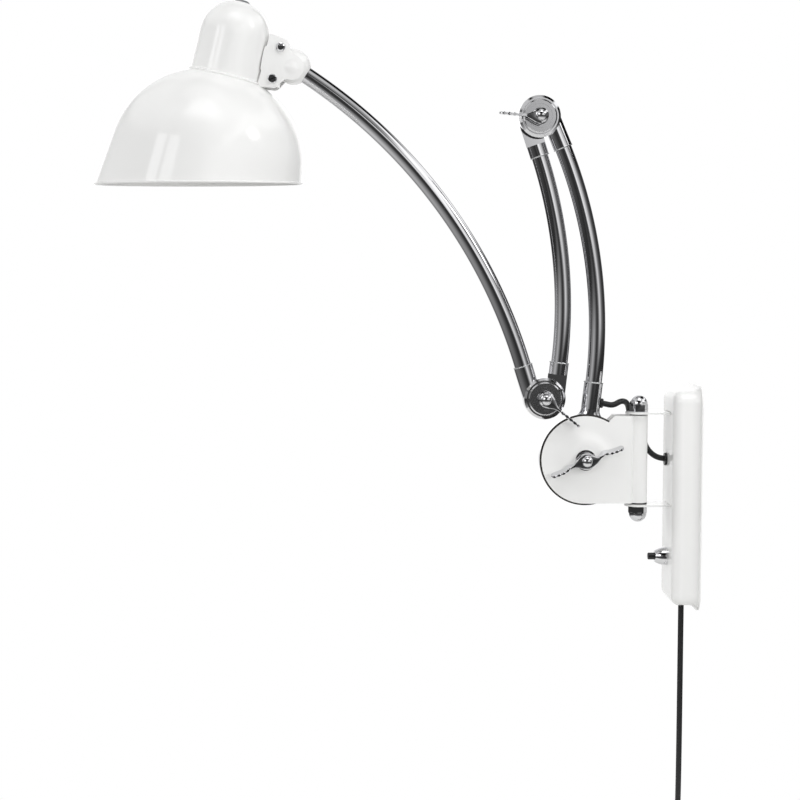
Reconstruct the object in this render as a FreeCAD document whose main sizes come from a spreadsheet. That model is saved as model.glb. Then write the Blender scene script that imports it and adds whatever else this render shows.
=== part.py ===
import FreeCAD, Part
import math
import os
from types import SimpleNamespace

import Sketcher
from FreeCAD import Placement, Rotation, Vector

# Articulating wall lamp.
# The back of the wall box lies in the plane X = 0, the lamp reaches out towards -X,
# +Z is up and the clamp nuts face -Y. The origin is the middle of the wall fixing.

SIZES = {
    # wall box: a pressed cover over a flat back plate
    "box_height": 222.0,
    "box_width": 69.0,
    "box_depth": 28.0,
    "box_wall": 1.2,
    "box_edge_r": 9.0,
    "box_corner_r": 12.0,
    "flare_out": 5.3,
    "flare_depth": 10.0,
    "plate_sheet": 1.5,
    "plate_margin": 1.5,
    "plate_tab": 18.0,
    "fixing_pitch": 190.0,
    "fixing_r": 2.5,
    "cover_screw_r": 1.7,
    "cover_screw_pitch": 34.0,
    # hinge: a U bracket on the plate, its two ears reach through the cover
    "pin_reach": 59.1,
    "pin_r": 4.0,
    "hinge_height": 39.0,
    "barrel_length": 91.0,
    "barrel_r": 9.4,
    "ear_sheet": 2.0,
    "ear_width": 28.0,
    "washer_sheet": 1.5,
    "acorn_flat": 17.0,
    "acorn_height": 17.3,
    "acorn_base": 8.0,
    "acorn_dome_r": 9.2,
    "rivet_r": 2.0,
    "rivet_head_r": 3.6,
    # push switch
    "switch_drop": 63.6,
    "switch_body_r": 8.0,
    "switch_neck_r": 5.0,
    "bell_r": 9.5,
    "bell_mouth_r": 6.4,
    "bell_height": 12.9,
    "button_r": 3.6,
    "button_proud": 7.1,
    "button_travel": 2.5,
    # swivel bracket and pivot
    "pivot_reach": 115.7,
    "cheek_notch": 58.7,
    "cheek_sheet": 1.5,
    "cheek_crown": 1.8,
    "cheek_flat_r": 14.0,
    "drum_r": 46.5,
    "drum_half": 9.6,
    "ring_sheet": 0.8,
    "pivot_bolt_r": 4.0,
    "pivot_washer_r": 10.7,
    # arms
    "tube_r": 8.75,
    "tube_wall": 1.25,
    "sleeve_r": 10.0,
    "socket_reach": 80.5,
    "sleeve_reach": 38.5,
    "sleeve_grip": 11.0,
    "arm_1_lean": 6.5,
    "arm_1_bend_r": 487.0,
    "arm_1_turn": 28.8,
    "arm_2_gap_angle": 4.1,
    "arm_2_bend_r": 495.0,
    "arm_2_turn": 24.7,
    "arm_3_gap_angle": 23.4,
    "arm_3_bend_r": 540.0,
    "arm_3_turn": 40.0,
    "arm_3_tail": 16.0,
    "park_gap": 8.0,
    # half-lap elbows
    "elbow_r": 21.4,
    "elbow_half": 12.0,
    "elbow_edge": 2.5,
    "elbow_step": 26.0,
    "lap_sheet": 0.6,
    "elbow_bolt_r": 3.0,
    "cap_r": 18.0,
    "cap_face_r": 16.0,
    "cap_height": 2.2,
    # clamp nuts
    "nut_hub_r": 8.2,
    "nut_dome_r": 5.2,
    "nut_height": 15.5,
    "wing_sheet": 3.0,
    "wing_low": 1.5,
    "wing_high": 11.0,
    "base_wing_reach": 40.5,
    "elbow_wing_reach": 43.5,
    # head
    "ball_r": 18.0,
    "head_tilt": 13.3,
    "head_roll": 1.9,
    "neck_across": 64.4,
    "neck_drop": 26.3,
    "cap_neck_r": 36.4,
    "cap_dome_r": 35.6,
    "cap_side": 42.0,
    "cap_wall": 1.3,
    "finial_r": 7.5,
    "shade_wall": 1.2,
    "shade_neck_r": 38.2,
    "shade_dome_r": 94.0,
    "shade_dome_in": 4.5,
    "shade_dome_drop": 88.2,
    "shade_flare": 7.1,
    "shade_cut": 110.7,
    "shade_cut_tilt": 13.6,
    "holder_r": 20.0,
    "holder_drop": 16.0,
    "bulb_r": 27.5,
    "bulb_length": 74.0,
    "clamp_sheet": 1.5,
    "clamp_inside": 16.4,
    "clamp_screw_across": 13.8,
    "clamp_screw_up": 16.7,
    "clamp_screw_r": 2.0,
    # leads
    "lead_r": 3.0,
    "mains_from_wall": 12.2,
    "coil_r": 33.0,
    "coil_gap": 0.6,
    # clearances
    "running": 0.05,
    "gap": 0.3,
}

doc = FreeCAD.newDocument("WallLamp")
sheet = doc.addObject("Spreadsheet::Sheet", "sizes")
for row, (alias, number) in enumerate(SIZES.items(), 1):
    sheet.set(f"A{row}", alias)
    sheet.set(f"B{row}", str(number))
    sheet.setAlias(f"B{row}", alias)
doc.recompute()


# ---------------------------------------------------------------- sizes as formulas

class Size:
    """A number together with the sheet formula that gives it."""

    def __init__(self, number, formula):
        self.number = number
        self.formula = formula

    def __add__(self, other):
        other = as_size(other)
        return Size(self.number + other.number, f"({self.formula} + {other.formula})")

    def __sub__(self, other):
        other = as_size(other)
        return Size(self.number - other.number, f"({self.formula} - {other.formula})")

    def __mul__(self, other):
        other = as_size(other)
        return Size(self.number * other.number, f"({self.formula} * {other.formula})")

    def __truediv__(self, other):
        other = as_size(other)
        return Size(self.number / other.number, f"({self.formula} / {other.formula})")

    def __radd__(self, other):
        return as_size(other) + self

    def __rsub__(self, other):
        return as_size(other) - self

    def __rmul__(self, other):
        return as_size(other) * self

    def __neg__(self):
        return Size(-self.number, f"(0 - {self.formula})")

    def __float__(self):
        return float(self.number)


def as_size(thing):
    if isinstance(thing, Size):
        return thing
    return Size(float(thing), f"({float(thing):.6f})")


def lean_of(across, up):
    """Angle of a line that goes across and up, from straight up towards across."""
    across, up = as_size(across), as_size(up)
    return Size(math.degrees(math.atan2(across.number, up.number)),
                f"(atan2({across.formula}; {up.formula}) / 1 deg)")


def sine(angle):
    angle = as_size(angle)
    return Size(math.sin(math.radians(angle.number)), f"sin({angle.formula} * 1 deg)")


def cosine(angle):
    angle = as_size(angle)
    return Size(math.cos(math.radians(angle.number)), f"cos({angle.formula} * 1 deg)")


def tangent(angle):
    angle = as_size(angle)
    return Size(math.tan(math.radians(angle.number)), f"tan({angle.formula} * 1 deg)")


def root(value):
    value = as_size(value)
    return Size(math.sqrt(value.number), f"sqrt({value.formula})")


S = SimpleNamespace(**{name: Size(float(sheet.get(name)), f"sizes.{name}") for name in SIZES})


def bind(thing, prop, value):
    value = as_size(value)
    setattr(thing, prop, value.number)
    if "sizes." in value.formula:
        thing.setExpression(prop, value.formula)


# ---------------------------------------------------------------- bodies and sketches

NODES = {}


def body_named(label):
    body = doc.addObject("PartDesign::Body", label)
    body.Label = label
    NODES[label] = body
    return body


def origin_plane(body, role):
    return next(item for item in body.Origin.OriginFeatures if item.Role == role)


def sketch_on(body, role, lift=0.0):
    sketch = body.newObject("Sketcher::SketchObject", f"{body.Name}_sketch")
    sketch.AttachmentSupport = [(origin_plane(body, role), "")]
    sketch.MapMode = "FlatFace"
    lift = as_size(lift)
    sketch.AttachmentOffset = Placement(Vector(0, 0, lift.number), Rotation())
    if "sizes." in lift.formula:
        sketch.setExpression("AttachmentOffset.Base.z", lift.formula)
    return sketch


def fix_point(sketch, curve, end, x, y):
    """Hold one end of a curve at x, y of the sketch."""
    for kind, axis, value in (("DistanceX", -2, x), ("DistanceY", -1, y)):
        value = as_size(value)
        if value.number == 0.0 and "sizes." not in value.formula:
            sketch.addConstraint(Sketcher.Constraint("PointOnObject", curve, end, axis))
            continue
        index = sketch.addConstraint(Sketcher.Constraint(kind, -1, 1, curve, end, value.number))
        if "sizes." in value.formula:
            sketch.setExpression(f"Constraints[{index}]", value.formula)


def fix_radius(sketch, curve, radius):
    radius = as_size(radius)
    index = sketch.addConstraint(Sketcher.Constraint("Radius", curve, radius.number))
    if "sizes." in radius.formula:
        sketch.setExpression(f"Constraints[{index}]", radius.formula)


def arc_between(start, end, radius, side):
    """Arc from start to end, its centre on the left (side 1) or right (side -1)."""
    chord = end - start
    half = chord.Length / 2
    rise = math.sqrt(max(radius * radius - half * half, 0.0))
    normal = Vector(-chord.y, chord.x, 0).normalize()
    centre = start + chord * 0.5 + normal * rise * side
    first, last = (start, end) if side > 0 else (end, start)
    angles = [math.atan2(point.y - centre.y, point.x - centre.x) for point in (first, last)]
    circle = Part.Circle(centre, Vector(0, 0, 1), radius)
    return Part.ArcOfCircle(circle, angles[0], angles[1])


def draw(sketch, points, closed=True):
    """Lines and arcs through points.

    A point is (x, y) for a line to it, or (x, y, radius, side) for an arc to it.
    """
    where = [Vector(float(point[0]), float(point[1]), 0) for point in points]
    steps = list(range(1, len(points))) + ([0] if closed else [])
    ends = []
    previous = 0
    for step in steps:
        start, end = where[previous], where[step]
        if len(points[step]) == 2:
            curve = sketch.addGeometry(Part.LineSegment(start, end))
            ends.append((curve, 1, 2))
        else:
            radius, side = points[step][2], points[step][3]
            curve = sketch.addGeometry(arc_between(start, end, float(radius), side))
            ends.append((curve, 1, 2) if side > 0 else (curve, 2, 1))
        previous = step
    for index in range(len(ends) - (0 if closed else 1)):
        curve, _, last = ends[index]
        following = ends[(index + 1) % len(ends)]
        sketch.addConstraint(
            Sketcher.Constraint("Coincident", curve, last, following[0], following[1]))
    fix_point(sketch, ends[0][0], ends[0][1], points[0][0], points[0][1])
    for (curve, _, last), step in zip(ends, steps):
        if step == 0:
            continue
        fix_point(sketch, curve, last, points[step][0], points[step][1])
    for (curve, _, _), step in zip(ends, steps):
        if len(points[step]) > 2:
            fix_radius(sketch, curve, points[step][2])
    return sketch


def draw_circle(sketch, x, y, radius):
    centre = Vector(float(x), float(y), 0)
    curve = sketch.addGeometry(Part.Circle(centre, Vector(0, 0, 1), float(radius)))
    fix_point(sketch, curve, 3, x, y)
    fix_radius(sketch, curve, radius)
    return sketch


def draw_rounded(sketch, width, height, corner, x=0.0, y=0.0):
    """Rectangle with rounded corners about x, y."""
    across = as_size(width) / 2
    up = as_size(height) / 2
    x, y, corner = as_size(x), as_size(y), as_size(corner)
    return draw(sketch, [
        (x + across - corner, y - up),
        (x + across, y - up + corner, corner, 1),
        (x + across, y + up - corner),
        (x + across - corner, y + up, corner, 1),
        (x - across + corner, y + up),
        (x - across, y + up - corner, corner, 1),
        (x - across, y - up + corner),
        (x - across + corner, y - up, corner, 1),
    ])


def pad(body, sketch, length, midplane=False, reverse=False):
    feature = body.newObject("PartDesign::Pad", f"{body.Name}_pad")
    feature.Profile = sketch
    bind(feature, "Length", length)
    feature.Midplane = midplane
    feature.Reversed = reverse
    return feature


def pocket(body, sketch, length, midplane=False, reverse=False):
    feature = body.newObject("PartDesign::Pocket", f"{body.Name}_pocket")
    feature.Profile = sketch
    bind(feature, "Length", length)
    feature.Midplane = midplane
    feature.Reversed = reverse
    return feature


def spin(body, sketch, kind="Revolution", axis="V_Axis"):
    feature = body.newObject(f"PartDesign::{kind}", f"{body.Name}_{kind.lower()}")
    feature.Profile = sketch
    feature.ReferenceAxis = (sketch, [axis])
    feature.Angle = 360.0
    return feature


def mirror(body, feature, role):
    copy = body.newObject("PartDesign::Mirrored", f"{body.Name}_mirror")
    copy.Originals = [feature]
    copy.MirrorPlane = (origin_plane(body, role), [""])
    body.Tip = copy
    return copy


def edges_where(feature, test):
    doc.recompute()
    return [f"Edge{number}" for number, edge in enumerate(feature.Shape.Edges, 1) if test(edge)]


def round_edges(body, feature, radius, test, kind="Fillet"):
    names = edges_where(feature, test)
    dress = body.newObject(f"PartDesign::{kind}", f"{body.Name}_{kind.lower()}")
    dress.Base = (feature, names)
    bind(dress, "Radius" if kind == "Fillet" else "Size", radius)
    return dress


def turned(label, points):
    """Body of revolution about its own Z axis from (radius, height) points."""
    body = body_named(label)
    spin(body, draw(sketch_on(body, "XZ_Plane"), points))
    return body


def ring(label, outer, inner, height):
    return turned(label, [(inner, 0), (outer, 0), (outer, height), (inner, height)])


def group(label, source, places):
    """Identical pieces in one node, as separate solids."""
    doc.recompute()
    solids = []
    for place in places:
        solid = source.Shape.copy()
        solid.Placement = place.multiply(solid.Placement)
        solids.append(solid)
    node = doc.addObject("Part::Feature", label)
    node.Label = label
    node.Shape = Part.makeCompound(solids)
    NODES[label] = node
    return node


def helper(body):
    """A body that only serves as the pattern of a group."""
    del NODES[body.Label]
    return body


def at(x=0.0, y=0.0, z=0.0, turn=None):
    return Placement(Vector(float(x), float(y), float(z)), turn or Rotation())


def lean(angle):
    """Turn about Y that leans +Z over towards +X."""
    return Rotation(Vector(0, 1, 0), float(angle))


FRONT = Rotation(Vector(1, 0, 0), 90)
OUT = Rotation(Vector(0, 1, 0), -90)
OVER = Rotation(Vector(1, 0, 0), 180)


# ---------------------------------------------------------------- cords

def biarc(start, start_way, end, end_way):
    """Two arcs that leave start and reach end along the given directions."""
    span = end - start
    square = 2 * (1 - start_way.dot(end_way))
    linear = 2 * span.dot(start_way + end_way)
    if square < 1e-9:
        reach = span.dot(span) / linear
    else:
        reach = (math.sqrt(linear * linear + 4 * square * span.dot(span)) - linear) / (2 * square)
    first = start + start_way * reach
    last = end - end_way * reach
    middle = (first + last) * 0.5
    return [arc_by_corner(start, first, middle), arc_by_corner(middle, last, end)]


def arc_by_corner(start, corner, end):
    """Arc that touches start-corner at start and corner-end at end, the two being equal."""
    half = (end - start).Length / 2
    middle = (start + end) * 0.5
    rise = corner - middle
    if rise.Length < 1e-6:
        return Part.makeLine(start, end)
    alpha = math.acos(min(1.0, half / (corner - start).Length))
    top = middle + rise.normalize() * (half * math.tan(alpha / 2))
    return Part.Arc(start, top, end).toShape()


def route(points, radii):
    """Straight runs joined by tangent arcs; the radii used are added to the list."""
    points = [Vector(*point) for point in points]
    edges = []
    here = points[0]
    for before, corner, after in zip(points, points[1:], points[2:]):
        way_in = (corner - before).normalize()
        way_out = (after - corner).normalize()
        half_turn = way_in.getAngle(way_out) / 2
        shorter = min((corner - before).Length, (after - corner).Length)
        setback = 0.45 * shorter
        radii.append(setback / math.tan(half_turn))
        leave = corner - way_in * setback
        meet = corner + way_out * setback
        edges.append(Part.makeLine(here, leave))
        edges.append(arc_by_corner(leave, corner, meet))
        here = meet
    edges.append(Part.makeLine(here, points[-1]))
    return edges


def cord(label, edges, radius):
    """A round tube along the edges, checked by its volume."""
    radius = float(radius)
    wire = Part.Wire(edges)
    start = edges[0].valueAt(edges[0].FirstParameter)
    way = edges[0].tangentAt(edges[0].FirstParameter)
    profile = Part.Wire(Part.Circle(start, way, radius).toShape())
    shape = wire.makePipeShell([profile], True, False)
    if shape.Volume < 0:
        shape.reverse()
    wanted = math.pi * radius * radius * wire.Length
    print(f"{label}: length {wire.Length:.1f} mm, volume ratio {shape.Volume / wanted:.4f}")
    node = doc.addObject("Part::Feature", label)
    node.Label = label
    node.Shape = shape
    NODES[label] = node
    return node


# ---------------------------------------------------------------- wall box

def skirt_sections(body, inset):
    """Outlines of the flared skirt, from the wall forwards."""
    sections = []
    for angle in (0.0, 22.5, 45.0, 67.5, 90.0):
        reach = S.flare_out * (1 - sine(angle)) - inset
        depth = S.box_wall - inset + (S.flare_depth - S.box_wall) * (1 - cosine(angle))
        sections.append(draw_rounded(
            sketch_on(body, "YZ_Plane", -depth),
            S.box_width + 2 * reach, S.box_height + 2 * reach, S.box_corner_r + reach))
    return sections


def loft(body, kind, sections):
    feature = body.newObject(f"PartDesign::{kind}", f"{body.Name}_loft")
    feature.Profile = sections[0]
    feature.Sections = sections[1:]
    return feature


def in_plane(edge, axis, value):
    box = edge.BoundBox
    low, high = (box.XMin, box.XMax) if axis == "X" else (box.ZMin, box.ZMax)
    return abs(low - value) < 1e-3 and abs(high - value) < 1e-3


ear_low = S.hinge_height - S.barrel_length / 2 - S.washer_sheet - S.ear_sheet
ear_high = S.hinge_height + S.barrel_length / 2 + S.washer_sheet
grommet_z = S.hinge_height - 1.5
grommet_y = as_size(8.0)

cover = body_named("wall_cover")
pad(cover, draw_rounded(
    sketch_on(cover, "YZ_Plane"), S.box_width + 2 * S.flare_out, S.box_height + 2 * S.flare_out,
    S.box_corner_r + S.flare_out), S.box_wall, reverse=True)
loft(cover, "AdditiveLoft", skirt_sections(cover, as_size(0.0)))
pad(cover, draw_rounded(sketch_on(cover, "YZ_Plane", -S.flare_depth), S.box_width, S.box_height,
                        S.box_corner_r), S.box_depth - S.flare_depth, reverse=True)
loft(cover, "SubtractiveLoft", skirt_sections(cover, S.box_wall))
hollow = pocket(cover, draw_rounded(
    sketch_on(cover, "YZ_Plane", S.box_wall - S.flare_depth + 0.01), S.box_width - 2 * S.box_wall,
    S.box_height - 2 * S.box_wall, S.box_corner_r - S.box_wall),
    S.box_depth - S.flare_depth + 0.01)
inner_face = float(S.box_wall - S.box_depth)
hollow = round_edges(cover, hollow, S.box_edge_r - S.box_wall,
                     lambda edge: in_plane(edge, "X", inner_face))
hollow = round_edges(cover, hollow, S.box_edge_r,
                     lambda edge: in_plane(edge, "X", -float(S.box_depth)))
front_cut = sketch_on(cover, "YZ_Plane", 3.0 - S.box_depth)
for low in (ear_low, ear_high):
    draw(front_cut, [
        (-S.ear_width / 2 - S.gap, low - S.gap),
        (S.ear_width / 2 + S.gap, low - S.gap),
        (S.ear_width / 2 + S.gap, low + S.ear_sheet + S.gap),
        (-S.ear_width / 2 - S.gap, low + S.ear_sheet + S.gap)])
draw_circle(front_cut, 0, -S.switch_drop, S.switch_neck_r + S.gap)
draw_circle(front_cut, grommet_y, grommet_z, 4.8)
pocket(cover, front_cut, 4.0)
under_cut = sketch_on(cover, "XY_Plane", 3.0 - S.box_height / 2)
screw_x = -(S.plate_tab - 5.0)
for side in (-1, 1):
    draw_circle(under_cut, screw_x, S.cover_screw_pitch / 2 * side, S.cover_screw_r)
draw_circle(under_cut, -S.mains_from_wall, 0, 4.3)
drilled = pocket(cover, under_cut, 4.0)
under = -float(S.box_height) / 2
round_edges(cover, drilled, 1.1, lambda edge: in_plane(edge, "Z", under)
            and edge.Curve.TypeId == "Part::GeomCircle"
            and abs(edge.Curve.Radius - float(S.cover_screw_r)) < 1e-3, kind="Chamfer")

plate = body_named("wall_plate")
tab_low = S.box_wall - S.box_height / 2 + S.gap
tab_half = S.cover_screw_pitch / 2 + 5.0
pad(plate, draw_rounded(
    sketch_on(plate, "YZ_Plane"), S.box_width - 2 * (S.box_wall + S.plate_margin),
    S.box_height - 2 * (S.box_wall + S.plate_sheet), 10.0), S.plate_sheet, reverse=True)
tab = pad(plate, draw(sketch_on(plate, "XY_Plane", tab_low), [
    (-S.plate_tab, -tab_half), (0, -tab_half), (0, tab_half), (-S.plate_tab, tab_half)]),
    S.plate_sheet)
mirror(plate, tab, "XY_Plane")
tab_cut = sketch_on(plate, "XY_Plane", tab_low + 3.0)
for side in (-1, 1):
    draw_circle(tab_cut, screw_x, S.cover_screw_pitch / 2 * side, S.cover_screw_r - S.running)
draw_circle(tab_cut, -S.mains_from_wall, 0, 7.3)
pocket(plate, tab_cut, 4.0)
wall_cut = sketch_on(plate, "YZ_Plane")
for side in (-1, 1):
    draw_circle(wall_cut, 0, S.fixing_pitch / 2 * side, S.fixing_r)
    for level in (-1, 1):
        draw_circle(wall_cut, 8.0 * side, S.hinge_height + 35.0 * level, S.rivet_r + S.running)
pocket(plate, wall_cut, 10.0, midplane=True)

screw = helper(turned("cover_screw", [
    (0, 0), (S.cover_screw_r + 1.0, 0), (S.cover_screw_r - 0.1, 1.1),
    (S.cover_screw_r - 0.1, 7.0), (0, 7.0)]))
group("cover_screws", screw, [
    at(screw_x, S.cover_screw_pitch / 2 * side, -S.box_height / 2) for side in (-1, 1)])

bracket = body_named("hinge_bracket")
web_out = S.plate_sheet + S.ear_sheet
pad(bracket, draw(sketch_on(bracket, "YZ_Plane", -S.plate_sheet), [
    (-S.ear_width / 2, ear_low), (S.ear_width / 2, ear_low),
    (S.ear_width / 2, ear_high + S.ear_sheet), (-S.ear_width / 2, ear_high + S.ear_sheet)]),
    S.ear_sheet, reverse=True)
for low in (ear_low, ear_high):
    half = S.ear_width / 2
    pad(bracket, draw(sketch_on(bracket, "XY_Plane", low), [
        (-S.plate_sheet, -half), (-S.plate_sheet, half), (-S.pin_reach, half),
        (-S.pin_reach - half, 0, half, 1), (-S.pin_reach, -half, half, 1)]), S.ear_sheet)
pocket(bracket, draw_circle(sketch_on(bracket, "XY_Plane", S.hinge_height), -S.pin_reach, 0,
                            S.pin_r + S.running), 2 * S.barrel_length, midplane=True)
rivet_cut = sketch_on(bracket, "YZ_Plane")
for side in (-1, 1):
    for level in (-1, 1):
        draw_circle(rivet_cut, 8.0 * side, S.hinge_height + 35.0 * level, S.rivet_r + S.running)
pocket(bracket, rivet_cut, 12.0, midplane=True)
round_edges(bracket, bracket.Tip, 3.0, lambda edge: in_plane(edge, "X", -float(S.plate_sheet))
            and edge.BoundBox.YLength > 20)

rivet = helper(turned("rivet", [
    (0, 0.1), (S.rivet_r, 0.1), (S.rivet_r, web_out), (S.rivet_head_r, web_out),
    (S.rivet_head_r - 0.8, web_out + 1.2), (0, web_out + 1.4)]))
group("bracket_rivets", rivet, [
    at(0, 8.0 * side, S.hinge_height + 35.0 * level, OUT) for side in (-1, 1)
    for level in (-1, 1)])

pin_end = S.barrel_length / 2 + S.washer_sheet + S.ear_sheet + S.acorn_height * 0.7
pin = turned("hinge_pin", [(0, -pin_end), (S.pin_r, -pin_end), (S.pin_r, pin_end), (0, pin_end)])
pin.Placement = at(-S.pin_reach, 0, S.hinge_height)

acorn = helper(body_named("acorn"))
corner = S.acorn_flat / cosine(30.0) / 2
hexagon = [(corner * cosine(60.0 * step), corner * sine(60.0 * step)) for step in range(6)]
pad(acorn, draw(sketch_on(acorn, "XY_Plane"), hexagon), S.acorn_base)
flat = S.acorn_flat / 2
spin(acorn, draw(sketch_on(acorn, "XZ_Plane"), [
    (flat, S.acorn_base + 0.5), (flat, S.acorn_base), (corner + 0.5, S.acorn_base - 0.8),
    (corner + 0.5, S.acorn_base + 0.5)]), kind="Groove")
dome = S.acorn_dome_r
spin(acorn, draw(sketch_on(acorn, "XZ_Plane"), [
    (0, S.acorn_base - 1.0), (dome, S.acorn_base - 1.0), (dome, S.acorn_height - dome),
    (0, S.acorn_height, dome, 1)]))
pocket(acorn, draw_circle(sketch_on(acorn, "XY_Plane"), 0, 0, S.pin_r + S.running),
       S.acorn_height * 0.75, reverse=True)
group("hinge_nuts", acorn, [
    at(-S.pin_reach, 0, ear_high + S.ear_sheet), at(-S.pin_reach, 0, ear_low, OVER)])
washer = helper(ring("hinge_washer", S.barrel_r, S.pin_r + S.running, S.washer_sheet))
group("hinge_washers", washer, [
    at(-S.pin_reach, 0, ear_high - S.washer_sheet), at(-S.pin_reach, 0, ear_low + S.ear_sheet)])

# switch, built along its own axis from the wall outwards
inside = S.box_depth - S.box_wall
bell_top = S.box_depth + S.bell_height
neck_top = S.box_depth + 8.0
turned("push_switch", [
    (0, 9.0), (S.switch_body_r, 9.0), (S.switch_body_r, inside), (S.switch_neck_r, inside),
    (S.switch_neck_r, neck_top), (S.button_r + 0.2, neck_top), (S.button_r + 0.2, neck_top - 6.0),
    (0, neck_top - 6.0)]).Placement = at(0, 0, -S.switch_drop, OUT)
turned("switch_bell", [
    (S.switch_neck_r + S.running, S.box_depth), (S.bell_r, S.box_depth),
    (S.bell_r, S.box_depth + 3.0), (S.bell_mouth_r, bell_top - 0.5, 24.0, 1),
    (S.bell_mouth_r - 0.5, bell_top, 0.5, 1),
    (S.button_r + 0.4, bell_top), (S.button_r + 0.4, neck_top + 0.2),
    (S.switch_neck_r + S.running, neck_top + 0.2)]).Placement = at(0, 0, -S.switch_drop, OUT)
button_top = bell_top + S.button_proud
turned("switch_button", [
    (0, neck_top - 6.0 + S.button_travel + S.gap),
    (S.button_r, neck_top - 6.0 + S.button_travel + S.gap),
    (S.button_r, button_top - 1.0), (S.button_r - 1.0, button_top, 1.0, 1),
    (0, button_top)]).Placement = at(0, 0, -S.switch_drop, OUT)

block = body_named("terminal_block")
pad(block, draw(sketch_on(block, "YZ_Plane", -S.plate_sheet), [
    (-14.0, -45.0), (14.0, -45.0), (14.0, -25.0), (-14.0, -25.0)]), 12.5, reverse=True)

turned("wall_grommet", [
    (S.lead_r + S.running, inside - 2.0), (6.0, inside - 2.0), (6.0, inside), (4.7, inside),
    (4.7, S.box_depth), (6.7, S.box_depth), (6.7, S.box_depth + 1.7),
    (5.9, S.box_depth + 2.5, 0.8, 1), (S.lead_r + S.running, S.box_depth + 2.5),
]).Placement = at(0, grommet_y, grommet_z, OUT)
gland = turned("cord_gland", [
    (S.lead_r + S.running, 0), (4.2, 0), (4.2, S.box_wall), (7.0, S.box_wall), (7.0, 6.0),
    (5.0, 8.0), (S.lead_r + S.running, 8.0)])
gland.Placement = at(-S.mains_from_wall, 0, -S.box_height / 2)


# ---------------------------------------------------------------- swivel bracket

# local origin in the middle of the clamp pivot
swivel_at = at(-S.pivot_reach, 0, S.hinge_height)
barrel_x = S.pivot_reach - S.pin_reach
cheek_r = S.barrel_length / 2
outer_y = S.drum_half + S.ring_sheet + S.cheek_sheet
inner_y = outer_y - S.cheek_sheet
hub_y = inner_y + S.cheek_crown

cheeks = body_named("swivel_cheeks")
pinch = 50.0
valley = 40.7
tail = barrel_x - S.barrel_r + 0.2
fold = draw(sketch_on(cheeks, "XY_Plane"), [
    (34.0, -outer_y),
    (tail, -outer_y),
    (barrel_x - S.barrel_r * cosine(pinch), -S.barrel_r * sine(pinch)),
    (barrel_x, -S.barrel_r, S.barrel_r, 1),
    (barrel_x + S.barrel_r, 0, S.barrel_r, 1),
    (barrel_x, S.barrel_r, S.barrel_r, 1),
    (barrel_x - S.barrel_r * cosine(pinch), S.barrel_r * sine(pinch), S.barrel_r, 1),
    (tail, outer_y),
    (34.0, outer_y),
    (34.0, inner_y),
    (tail - 0.8, inner_y),
    (barrel_x - S.barrel_r * cosine(valley), S.barrel_r * sine(valley)),
    (barrel_x - S.barrel_r * cosine(valley), -S.barrel_r * sine(valley), S.barrel_r, 1),
    (tail - 0.8, -inner_y),
    (34.0, -inner_y)])
draw_circle(fold, barrel_x, 0, S.barrel_r - S.cheek_sheet)
pad(cheeks, fold, S.barrel_length, midplane=True)
notch = S.cheek_notch
side_plate = pad(cheeks, draw(sketch_on(cheeks, "XZ_Plane", inner_y), [
    (0, -cheek_r, cheek_r, 1), (34.0, -cheek_r), (34.0, cheek_r),
    (cheek_r * (cosine(notch) + 1 - sine(notch)), cheek_r),
    (cheek_r * cosine(notch), cheek_r * sine(notch)),
    (0, cheek_r, cheek_r, 1), (-cheek_r, 0, cheek_r, 1)]),
    S.cheek_sheet)
mirror(cheeks, side_plate, "XZ_Plane")
crown_r = as_size(35.0)
pocket(cheeks, draw_circle(sketch_on(cheeks, "XZ_Plane"), 0, 0, crown_r), 4 * outer_y,
       midplane=True)
mid_r = (crown_r + S.cheek_flat_r) / 2
swell = ((crown_r - S.cheek_flat_r) * (crown_r - S.cheek_flat_r)
         + S.cheek_crown * S.cheek_crown) / (4 * S.cheek_crown)
bore = S.pivot_bolt_r + S.running
crown = spin(cheeks, draw(sketch_on(cheeks, "XY_Plane"), [
    (bore, -hub_y), (bore, -hub_y - S.cheek_sheet), (S.cheek_flat_r, -hub_y - S.cheek_sheet),
    (mid_r, -outer_y - S.cheek_crown / 2, swell, 1), (crown_r, -outer_y, swell, -1),
    (crown_r, -inner_y), (mid_r, -inner_y - S.cheek_crown / 2, swell, 1),
    (S.cheek_flat_r, -hub_y, swell, -1)]))
mirror(cheeks, crown, "XZ_Plane")
cheeks.Placement = swivel_at

bush = helper(turned("barrel_bush", [
    (S.pin_r + S.running, 0), (S.barrel_r - S.cheek_sheet, 0), (S.barrel_r - S.cheek_sheet, 12.0),
    (S.pin_r + S.running, 12.0)]))
group("barrel_bushes", bush, [
    at(-S.pin_reach, 0, S.hinge_height + cheek_r - 12.0),
    at(-S.pin_reach, 0, S.hinge_height - cheek_r)])

front_y = hub_y + S.cheek_sheet
washer_y = front_y + S.washer_sheet
bolt = turned("base_bolt", [
    (0, -washer_y - 6.0), (5.0, -washer_y - 6.0), (6.5, -washer_y - 4.5, 1.5, 1),
    (6.5, -washer_y), (S.pivot_bolt_r, -washer_y), (S.pivot_bolt_r, washer_y + 8.0),
    (0, washer_y + 8.0)])
bolt.Placement = at(-S.pivot_reach, 0, S.hinge_height, FRONT)
washer = helper(ring("base_washer", S.pivot_washer_r, bore, S.washer_sheet))
group("base_washers", washer, [
    at(-S.pivot_reach, -front_y, S.hinge_height, FRONT),
    at(-S.pivot_reach, washer_y, S.hinge_height, FRONT)])
friction = helper(ring("friction_ring", 43.0, crown_r + 0.5, S.ring_sheet))
group("friction_rings", friction, [
    at(-S.pivot_reach, -S.drum_half, S.hinge_height, FRONT),
    at(-S.pivot_reach, inner_y, S.hinge_height, FRONT)])


# ---------------------------------------------------------------- clamp nuts

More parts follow.
